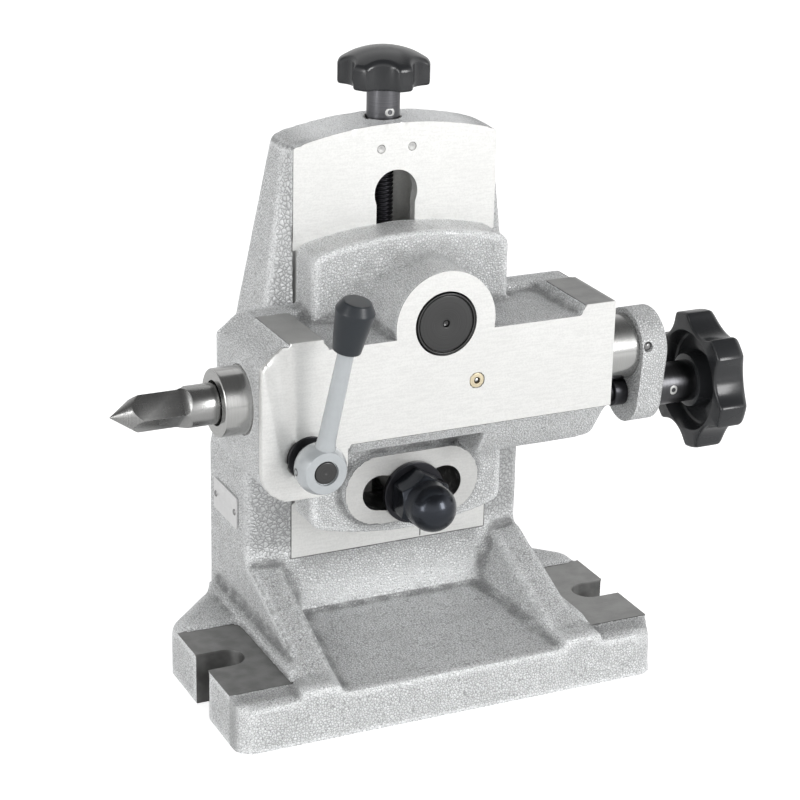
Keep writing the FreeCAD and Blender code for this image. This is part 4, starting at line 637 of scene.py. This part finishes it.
class TAILSTOCK_OT_castings(BuildOperator):
    """Base, head and bracket with rough paint and milled faces."""

    bl_idname = "tailstock.castings"
    bl_label = "Castings"

    def build(self, sizes, colours):
        slot, keyhole, way, bore = 9.9, 11.0, 15.0, 8.65
        pivot = (PIVOT[0], PIVOT[2])
        screw = SCREW[:2]
        base_features = [
            # The column's face and its edges; the strips beside the head's plate get darker iron,
            # painted shade.
            ("plane", "y", FACE_PLANE, 0, (-49.5, 30, 57), (49.5, 30, 275), 1.0),
            ("plane", "y", FACE_PLANE, 0, (-52, 30, 214), (52, 30, 275), 1.0),
            ("plane", "y", FACE_PLANE, 0, (-52, 30, 57), (52, 30, 84), 1.0),
            ("plane", "y", FACE_PLANE, 0, (-52, 30, 57), (52, 30, 275), 0.7),
            ("plane", "x", -52, 0, (-52, 29.9, 57), (-52, 30.1, 275), 0.7),
            ("plane", "x", 52, 0, (52, 29.9, 57), (52, 30.1, 275), 0.7),
            ("round", "y", (0, 81), 188.0, (-47, 29.9, 262), (47, 30.1, 270), 0),
            ("plane", "z", 57, 0, (-52, 29.9, 57), (52, 30.1, 57), 0),
            ("plane", "z", 0, 0, (-110, -48, 0), (110, 92, 0), 0),
            # The slot, the keyhole, the way behind them and the screw's bore.
            ("plane", "x", -slot, 0, (-slot, 30, 82), (-slot, 42, 230.2), 1.0),
            ("plane", "x", slot, 0, (slot, 30, 82), (slot, 42, 230.2), 1.0),
            ("round", "y", (0, 82), slot, (-10, 30, 71), (10, 42, 82), 1.0),
            ("round", "y", (0, 235.7), keyhole, (-11, 30, 232), (11, 42, 247), 1.0),
            ("plane", "z", 248.0, 0, (-15, 32, 248), (15, 60.3, 248), 1.0),
            ("round", "z", screw, way, (-15, 32, 68), (15, 62, 248), 1.0),
            ("round", "z", screw, bore, (-10, 36, 248), (10, 56, 272), 1.0)]
        for side in (-7.9, 7.9):
            base_features.append(
                ("round", "y", (side, 257.2), 2.2, (side - 2.2, 30, 255), (side + 2.2, 34, 259.4),
                 0.7))
        # The foot pads get darker iron, the left pad more than the right; their bolt slots get
        # darker iron still, painted shade in the slots.
        for sign, bright in ((-1, 0.83), (1, 0.86)):
            low, high = sorted((sign * 78.5, sign * 110))
            base_features.append(
                ("plane", "z", 26.0, 0, (low, -35, 26), (high, 33, 26), bright))
            low, high = sorted((sign * 97.5, sign * 110))
            for side in (-8.5, 8.5):
                base_features.append(
                    ("plane", "y", side, 0, (low, side, 0), (high, side, 26), 0.80))
            low, high = sorted((sign * 88, sign * 97.5))
            base_features.append(
                ("round", "z", (sign * 97.5, 0), 8.5, (low, -8.5, 0), (high, 8.5, 26), 0.80))
            low, high = sorted((sign * 109.9, sign * 110.1))
            base_features.append(
                ("plane", "x", sign * 110, 0, (low, -35, 25.9), (high, 33, 26.1), 0.82))
        base = soft_casting(
            "base_body", "base_casting", sizes.cast_voxel, base_features, rounds=4,
            waviness=0.35, softer=[((100, -50, 2), (111, -38, 27), 40)])
        head_features = [
            # The front face with its scoop, the right end and the top plates.
            ("keep", "y", 0, 0, (-89.6, -26.8, 114), (-66, -23.4, 186), 1.0),
            ("plane", "y", HEAD_FRONT, 0, (-90.4, -26.8, 113), (88.6, -26.8, 214), 1.0),
            ("plane", "z", 136.9, 0, (-46, -26.9, 136.9), (88.6, -26.7, 136.9), 1.0),
            ("plane", "x", 88.6, 0, (88.6, -26.8, 138), (88.6, 30, 189), 0.9),
            ("plane", "y", FACE_PLANE, 0, (-90.4, 30, 72), (88.6, 30, 222), 0),
            ("plane", "z", 189.0, 0, (-76.8, -26.8, 189), (-61, 14, 189), 0.87),
            ("plane", "z", 189.0, 0, (72.9, -26.8, 189), (88.6, 14, 189), 0.85),
            ("round", "y", pivot, 25.0, (-26, -26.9, 186), (26, -26.7, 215), 0),
            ("plane", "z", 184.0, 0, (-57.5, -26.9, 184), (-25.5, -26.7, 184), 0),
            ("plane", "z", 184.0, 0, (25.5, -26.9, 184), (69.4, -26.7, 184), 0),
            # The bores of the pivot, the quill and the cotters, then the arc slot's pad and walls,
            # the walls with darker iron as painted shade.
            ("round", "y", pivot, 15.45, (-16, -26.8, 173), (16, -8, 205), 1.0),
            ("round", "x", QUILL[1:], 15.95, (-90.4, -16, 139), (-80, 16, 172), 1.0),
            ("round", "y", (CLAMP[0], CLAMP[2]), 10.5, (-78, -26.8, 122), (-56, -10, 144), 1.0),
            ("plane", "y", 5.1, 0, (-35.2, 5.1, 79.3), (35.2, 5.1, 114.7), 0.93),
            ("round", "y", pivot, 85.9, (-17, 5.1, 102), (17, 30, 104), 0.68),
            ("round", "y", pivot, 103.9, (-17, 5.1, 84), (17, 30, 87), 0.68)]
        for sign in (-1, 1):
            low, high = sorted((sign * 17, sign * 27))
            head_features.append(
                ("round", "y", (sign * 17, 95.5), 9.0, (low, 5.1, 86), (high, 30, 105), 0.68))
        head = soft_casting(
            "head_body", "head_casting", sizes.head_voxel, head_features, rounds=4, waviness=0.3,
            softer=[((-91, -26, 164), (-77, 31, 190), 60), ((79, -26, 114), (89, 31, 137), 40)])
        bracket = cad_copy("bracket_body", "quill_bracket", bevel=0.9)
        paint = cast_paint(
            "casting_paint", colours.paint, colours.milled, sizes.grain, lines=0.9, base=True)
        finished(base, paint, "base", "base_casting")
        finer = cast_paint(
            "head_paint", colours.paint, colours.milled, sizes.grain * 0.95, lines=0.85)
        finished(head, finer, "head", "head_casting")
        finished(bracket, finer, "quill", "quill_bracket")


class TAILSTOCK_OT_knobs(BuildOperator):
    """Two star knobs with their steel bushes and roll pins."""

    bl_idname = "tailstock.knobs"
    bl_label = "Knobs"

    def build(self, sizes, colours):
        plastic = smooth_coat("knob_gloss", colours.knob, 0.22, ripple=0.02, shine=0.5)
        top = star_knob(
            "top_knob_body", "z", (*SCREW[:2], 284.3), radius=21.7, rim=11.2, dome=6.5, bush=7.9,
            turn=4.6)
        finished(top, plastic, "elevating_screw", "top_knob")
        side = star_knob(
            "side_knob_body", "x", (147, *FEED[1:]), radius=34.2, rim=15.5, dome=5.5, bush=10.3,
            turn=16.0)
        finished(side, plastic, "feed_screw", "side_knob")
        dark = turned_steel("bush_steel", (0.16, 0.16, 0.17), 0.32, "z", SCREW)
        bush = turned(
            "top_bush_body", "z", SCREW,
            [(262.2, 5.05), (262.2, 7.9, 0.5), (289.2, 7.9, 0.4), (289.2, 5.05), (262.2, 5.05)])
        finished(bush, dark, "elevating_screw", "top_knob_bush")
        dark_side = turned_steel("side_bush_steel", (0.09, 0.09, 0.095), 0.32, "x", FEED)
        bush = turned(
            "side_bush_body", "x", FEED,
            [(124.5, 5.05), (124.5, 10.3, 0.8), (151.9, 10.3, 0.4), (151.9, 5.05), (124.5, 5.05)])
        finished(bush, dark_side, "feed_screw", "side_knob_bush")
        bright = smooth_coat("pin_steel", (0.60, 0.60, 0.59), 0.36, metallic=0.5)
        for name, body, centre, reach in (
                ("top_knob_pin", "elevating_screw", (*SCREW[:2], 272), 8.05),
                ("side_knob_pin", "feed_screw", (134, *FEED[1:]), 10.5)):
            end = [(reach - 1.0, 0), (reach - 1.0, 0.9), (reach - 0.05, 1.2, 0.3),
                   (reach - 0.3, 2.4, 0.3)]
            start = [(-along, *rest) for along, *rest in end]
            pin = turned(name + "_roll", "y", centre, start + end[::-1], steps=40)
            finished(pin, bright, body, name)


class TAILSTOCK_OT_screws(BuildOperator):
    """Elevating screw and feed screw with their threads and collars."""

    bl_idname = "tailstock.screws"
    bl_label = "Screws"

    def build(self, sizes, colours):
        black = smooth_coat("black_oxide", (0.045, 0.045, 0.05), 0.30, metallic=0.9, ripple=0.03)
        shape = {"radius": 5.5, "depth": 1.0, "pitch": sizes.thread_pitch}
        screw = thread("elevating_thread", "z", SCREW, start=154, stop=249, **shape)
        finished(screw, black, "elevating_screw", "elevating_screw", sharp=50)
        collar = turned(
            "elevating_collar", "z", SCREW,
            [(249, 0), (249, 8.5, 0.4), (262, 8.5, 0.6), (262, 5.0), (289.2, 5.0), (289.2, 0)])
        finished(collar, black, "elevating_screw", None)
        feed = thread("feed_thread", "x", FEED, start=45, stop=103.2, **shape)
        finished(feed, black, "feed_screw", "feed_screw", sharp=50)
        stem = turned(
            "feed_stem", "x", FEED, [(102, 0), (102, 5.4), (124.3, 5.4), (124.3, 5.0),
                                     (152, 5.0), (152, 0)])
        finished(stem, black, "feed_screw", None)
        ring = turned(
            "thrust_ring", "x", FEED,
            [(103.0, 5.5), (103.0, 7.2, 0.7), (110.0, 7.2, 0.3), (110.0, 5.5), (103.0, 5.5)])
        finished(ring, black, "feed_screw", "thrust_collar")


class TAILSTOCK_OT_quill(BuildOperator):
    """Quill sleeve, centre and set screw."""

    bl_idname = "tailstock.quill"
    bl_label = "Quill"

    def build(self, sizes, colours):
        ground = turned_steel("ground_steel", (0.55, 0.55, 0.54), 0.20, "x", QUILL, ring=0.35)
        sleeve = turned(
            "quill_body", "x", QUILL,
            [(-40, 0), (-40, 8.9), (-99, 8.9), (-99, 10.5), (-103, 10.5, 0.4), (-103, 15.9, 1.1),
             (110.2, 15.9, 0.6), (110.2, 10.0), (124.2, 10.0), (124.2, 0)], steps=128)
        finished(sleeve, ground, "quill", "quill_sleeve")
        duller = turned_steel("centre_steel", (0.36, 0.36, 0.355), 0.26, "x", QUILL, ring=0.35)
        nose = cad_copy("centre_body", "centre", bevel=0.15, angle=25, segments=2)
        finished(nose, duller, "quill", "centre", sharp=20)
        black = smooth_coat("screw_black", (0.26, 0.26, 0.26), 0.28, metallic=0.9)
        plug = turned(
            "set_screw_body", "y", (113.2, 0, 159.9),
            [(-17.9, 0), (-17.8, 1.0, 0.4), (-17.2, 1.9, 0.5), (-16.2, 2.35), (-10.1, 2.4),
             (-10.1, 0)], steps=40)
        finished(plug, black, "quill", "bracket_set_screw")


class TAILSTOCK_OT_clamp(BuildOperator):
    """Pivot stud, clamping bolt, washer and dome nut."""

    bl_idname = "tailstock.clamp"
    bl_label = "Pivot and clamping nut"

    def build(self, sizes, colours):
        face = turned_steel("pivot_steel", (0.085, 0.085, 0.085), 0.30, "y", PIVOT, ring=0.45)
        stud = turned(
            "pivot_face", "y", PIVOT,
            [(HEAD_FRONT + 2.0, 0.0), (HEAD_FRONT + 1.2, 1.5, 0.2), (HEAD_FRONT, 1.8, 0.3),
             (HEAD_FRONT, 13.2, 0.2), (HEAD_FRONT + 0.5, 13.5, 0.2),
             (HEAD_FRONT + 0.5, 13.7, 0.2), (HEAD_FRONT - 0.35, 13.9, 0.2),
             (HEAD_FRONT - 0.35, 14.5, 0.2), (HEAD_FRONT + 0.8, 14.7), (30, 14.9), (30, 0)],
            steps=128)
        finished(stud, face, "slider", "pivot_stud")
        slide = smooth_coat("slide_steel", (0.3, 0.3, 0.3), 0.35, metallic=1.0)
        material_of("slide_block", slide)
        material_of("clamp_t_bolt", slide)
        black = smooth_coat("washer_black", (0.03, 0.03, 0.035), 0.3, metallic=0.8)
        washer = turned(
            "washer_body", "y", NUT,
            [(2.3, 8.4, 0.2), (2.3, 15.5, 0.4), (5.1, 15.5, 0.4), (5.1, 8.4), (2.3, 8.4)])
        finished(washer, black, "clamp_nut", "washer")
        angles = np.linspace(0, 2 * math.pi, 241)
        wedge = np.mod(angles - math.radians(30) + math.pi / 6, math.pi / 3) - math.pi / 6
        half_flats, dome = 12.0, 11.6
        hexagon = half_flats / np.cos(math.pi / 6 - np.abs(wedge))
        hex_back, hex_front, dome_start = 2.3, -11.0, -17.1
        rows = [(hex_back, 8.4), (hex_back, np.minimum(hexagon, 12.1)),
                (hex_back - 0.7, np.minimum(hexagon, 13.3)), (hex_back - 1.1, hexagon)]
        for step in range(9):
            along = hex_front + 2.2 * (1 - step / 8)
            rows.append((along, np.minimum(hexagon, 11.9 + (along - hex_front) * 1.2)))
        rows += [(hex_front - 0.2, dome + 0.05), (hex_front - 0.3, dome), (dome_start, dome)]
        for step in range(1, 13):
            turn_in = math.radians(90 * step / 12)
            rows.append((dome_start - dome * math.sin(turn_in), dome * math.cos(turn_in)))
        nut = skin("nut_body", [ring_table("y", NUT, rows, 240)])
        dark = smooth_coat("nut_polish", (0.032, 0.036, 0.045), 0.24, metallic=0.85, coat=0.2)
        finished(nut, dark, "clamp_nut", "dome_nut")


class TAILSTOCK_OT_lever(BuildOperator):
    """Clamp lever with its ball, arm and grip, its bolt and the two cotters."""

    bl_idname = "tailstock.lever"
    bl_label = "Clamp lever"

    def build(self, sizes, colours):
        paint = smooth_coat("lever_paint", colours.lever, 0.24, metallic=0.3, coat=0.6)
        ball, arm_start, arm_length = 12.0, 6.0, 65.5
        ball_centre = (CLAMP[0], -39.8, CLAMP[2])
        lean = Matrix.Rotation(math.radians(7.1), 3, "Y") @ Matrix.Rotation(
            math.radians(10.2), 3, "X")
        ball_rows = []
        for step in range(25):
            turn_in = math.radians(90 - 125.1 * step / 24)
            ball_rows.append((ball * math.sin(turn_in), ball * math.cos(turn_in)))
        ball_rows += [(-6.95, 9.4), (-6.9, 5.9), (-5.5, 5.8), (-5.5, 0)]
        arm_rows = [(arm_start, 0.0)]
        for step in range(30):
            along = arm_start + arm_length * step / 29
            flare = 1.5 * math.exp(-abs(along - 11.2) / 1.0)
            arm_rows.append((along, 4.3 - 0.6 * along / 72 + flare))
        arm_rows.append((arm_start + arm_length, 0.0))
        arm = skin("lever_body", [
            ring_table("y", ball_centre, ball_rows), ring_table(lean, ball_centre, arm_rows, 64)])
        finished(arm, paint, "clamp_lever", "lever_arm")
        grip_paint = smooth_coat("grip_slate", (0.022, 0.026, 0.031), 0.34, shine=0.35)
        grip = turned(
            "grip_body", lean, ball_centre,
            [(71, 0), (60.0, 3.9, 0.2), (60.0, 6.5, 0.5), (79.7, 9.0, 0.5), (84.0, 6.5, 0.4),
             (84.1, 6.0, 0.2), (84.0, 0)], steps=96)
        finished(grip, grip_paint, "clamp_lever", "lever_grip")
        face = turned_steel("bolt_steel", (0.09, 0.09, 0.09), 0.3, "y", CLAMP, ring=0.5)
        bolt = turned(
            "clamp_bolt_body", "y", CLAMP,
            [(-46.1, 0), (-46.3, 0.6, 0.3), (-46.4, 5.0, 0.4), (-45.7, 5.35, 0.2), (24.3, 5.4),
             (24.3, 0)])
        finished(bolt, face, "clamp_lever", "clamp_bolt")
        black = smooth_coat("cotter_black", (0.03, 0.03, 0.033), 0.30, metallic=0.8)
        screw = skin("ball_screw", [ring_table("x", ball_centre, [
            (-11.0, 0), (-11.0, 0.9), (-11.95, 1.1), (-11.9, 1.8), (-11.5, 1.9), (-11.5, 0)], 32)])
        finished(screw, black, "clamp_lever", None)
        cotter = turned(
            "front_cotter_body", "y", CLAMP,
            [(-27.3, 6.0, 0.3), (-27.3, 10.4, 0.5), (-1.5, 10.4), (-1.5, 6.0), (-27.3, 6.0)])
        finished(cotter, black, "head", "clamp_cotter_front")
        material_of("clamp_cotter_rear", black)


class TAILSTOCK_OT_fittings(BuildOperator):
    """Oiler, retaining pins, name plate and rivets."""

    bl_idname = "tailstock.fittings"
    bl_label = "Fittings"

    def build(self, sizes, colours):
        brass = turned_steel(
            "brass", (0.80, 0.70, 0.50), 0.35, "y", OILER, ring=0.4, metallic=0.6)
        cup = turned(
            "oiler_cup", "y", OILER,
            [(-0.2, 1.6, 0.3), (-0.2, 3.6, 0.5), (4, 3.6), (4, 2.2), (0.6, 2.2), (-0.2, 1.6)],
            steps=48)
        finished(cup, brass, "head", "oil_cup")
        bright = smooth_coat("ball_steel", (0.6, 0.6, 0.6), 0.15, metallic=1.0)
        material_of("oiler_ball", bright)
        pin_height = 257.2
        pin_face = turned_steel(
            "pin_face", (0.55, 0.55, 0.54), 0.35, "y", (0, 0, pin_height), ring=0.3)
        pin_rows = [(30.2, 0), (30.1, 0.4), (30.06, 1.8), (30.3, 2.1), (50, 2.1), (50, 0)]
        pins = skin("pin_bodies", [
            ring_table("y", (side, 0, pin_height), pin_rows, 40) for side in (-7.9, 7.9)])
        finished(pins, pin_face, "base", "retaining_pins")
        engraved = smooth_coat("engraved", (0.02, 0.02, 0.02), 0.6)
        mark = skin("index_mark", [np.array([
            [(x, 29.95, z) for x in (16.55, 17.05)] for z in (57.4, 62.5)])])
        finished(mark, engraved, "base", None)
        aluminium = smooth_coat("plate_metal", (0.78, 0.78, 0.78), 0.34, metallic=0.6)
        plate = cad_copy("name_plate_body", "name_plate", bevel=0.2)
        finished(plate, aluminium, "base", "name_plate")
        dull = smooth_coat("rivet_metal", (0.30, 0.30, 0.30), 0.35, metallic=0.9)
        rivets = cad_copy("rivet_bodies", "plate_rivets", bevel=0.1)
        finished(rivets, dull, "base", "plate_rivets")


def camera_axes(azimuth, elevation, roll):
    """Rotation of a camera that looks along an azimuth, down by an elevation."""
    ahead = Vector((math.sin(azimuth) * math.cos(elevation),
                    math.cos(azimuth) * math.cos(elevation), -math.sin(elevation)))
    across = ahead.cross(Vector((0, 0, 1))).normalized()
    above = across.cross(ahead)
    right = across * math.cos(roll) + above * math.sin(roll)
    over = above * math.cos(roll) - across * math.sin(roll)
    return Matrix((right, over, -ahead)).transposed()


class TAILSTOCK_OT_stage(BuildOperator):
    """White floor, lamps, surroundings and the camera of the photograph."""

    bl_idname = "tailstock.stage"
    bl_label = "Studio"

    def lamp(self, name, place, target, size, power):
        """Area lamp that faces a point."""
        data = bpy.data.lights.new(name, "AREA")
        data.shape = "RECTANGLE"
        data.size, data.size_y = size
        data.energy = power
        lamp = bpy.data.objects.new(name, data)
        lamp.location = place
        lamp.rotation_euler = (Vector(target) - Vector(place)).to_track_quat("-Z", "Y").to_euler()
        bpy.context.scene.collection.objects.link(lamp)

    def build(self, sizes, colours):
        scene = bpy.context.scene
        shape = bmesh.new()
        bmesh.ops.create_grid(shape, x_segments=1, y_segments=1, size=6.0)
        floor = new_object("floor", shape)
        floor.location.z = -0.0002
        paper = Finish("floor_white", Base_Color=(0.8, 0.8, 0.8), Roughness=0.9)
        # The floor glows: white where the camera sees it, and faintly for other rays, so that it
        # lights the pieces from below though it is no lamp.
        shown = paper.add("ShaderNodeLightPath", output="Is Camera Ray")
        paper.set(Emission_Color=paper.mix(shown, (0.3, 0.3, 0.3), (1, 1, 1)), Emission_Strength=0.7)
        floor.data.materials.append(paper.material)
        self.lamp("key", (0.75, -1.35, 0.75), (0, 0, 0.12), size=(0.5, 0.8), power=13.0)
        self.lamp("back", (0.15, 0.95, 1.35), (0, 0, 0.15), size=(1.2, 0.8), power=2.0)
        self.lamp("left", (-1.5, -0.5, 0.6), (0, 0, 0.15), size=(0.4, 1.0), power=7.5)
        world = bpy.data.worlds.new("surroundings")
        scene.world = world
        world.use_nodes = True
        room = Nodes(world.node_tree)
        ahead = room.add("ShaderNodeTexCoord", output="Generated")
        away = room.add("ShaderNodeSeparateXYZ", {}, {0: ahead}, "Y")
        rise = room.add("ShaderNodeSeparateXYZ", {}, {0: ahead}, "Z")
        level = rise.between(0.84, 0.33) * (away.between(0.9, -0.3) * 0.37 + 0.66) + 0.16
        lit = room.add("ShaderNodeBackground", {}, {"Color": (1, 1, 1), "Strength": level})
        white = room.add("ShaderNodeBackground", {}, {"Color": (1, 1, 1), "Strength": 1.0})
        seen = room.add("ShaderNodeLightPath", output="Is Camera Ray")
        room.plug(world.node_tree.nodes["World Output"].inputs["Surface"],
                  room.add("ShaderNodeMixShader", {}, {0: seen, 1: lit, 2: white}))
        data = bpy.data.cameras.new("camera")
        data.sensor_width = 36.0
        data.lens = 2369.3 / 800 * 36.0
        data.clip_start = 0.05
        data.clip_end = 20.0
        camera = bpy.data.objects.new("camera", data)
        turn = camera_axes(math.radians(25.361), math.radians(20.820), math.radians(1.233))
        camera.matrix_world = Matrix.Translation(
            Vector((-454.99, -939.05, 538.95)) * MM) @ turn.to_4x4()
        scene.collection.objects.link(camera)
        scene.camera = camera
        scene.view_settings.view_transform = "Standard"


class TAILSTOCK_PT_panel(bpy.types.Panel):
    """Sizes, colours and builders of the tailstock."""

    bl_idname = "TAILSTOCK_PT_panel"
    bl_label = "Tailstock"
    bl_space_type = "VIEW_3D"
    bl_region_type = "UI"
    bl_category = "Tailstock"

    def draw(self, context):
        """Lists every size, colour and operator."""
        for group in (context.scene.tailstock_sizes, context.scene.tailstock_colours):
            for name in group.bl_rna.properties.keys():
                if name not in ("rna_type", "name"):
                    self.layout.prop(group, name)
        for operator in OPERATORS:
            self.layout.operator(operator.bl_idname)


OPERATORS = (
    TAILSTOCK_OT_castings, TAILSTOCK_OT_knobs, TAILSTOCK_OT_screws, TAILSTOCK_OT_quill,
    TAILSTOCK_OT_clamp, TAILSTOCK_OT_lever, TAILSTOCK_OT_fittings, TAILSTOCK_OT_stage)
CLASSES = (TailstockSizes, TailstockColours, *OPERATORS, TAILSTOCK_PT_panel)


def register():
    """Registers the classes and the scene's properties."""
    for cls in CLASSES:
        bpy.utils.register_class(cls)
    bpy.types.Scene.tailstock_sizes = PointerProperty(type=TailstockSizes)
    bpy.types.Scene.tailstock_colours = PointerProperty(type=TailstockColours)


def unregister():
    """Takes the classes and properties away again."""
    del bpy.types.Scene.tailstock_colours
    del bpy.types.Scene.tailstock_sizes
    for cls in reversed(CLASSES):
        bpy.utils.unregister_class(cls)


def main():
    """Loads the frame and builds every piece."""
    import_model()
    register()
    for operator in OPERATORS:
        group, name = operator.bl_idname.split(".")
        getattr(getattr(bpy.ops, group), name)()


if __name__ == "__main__":
    main()
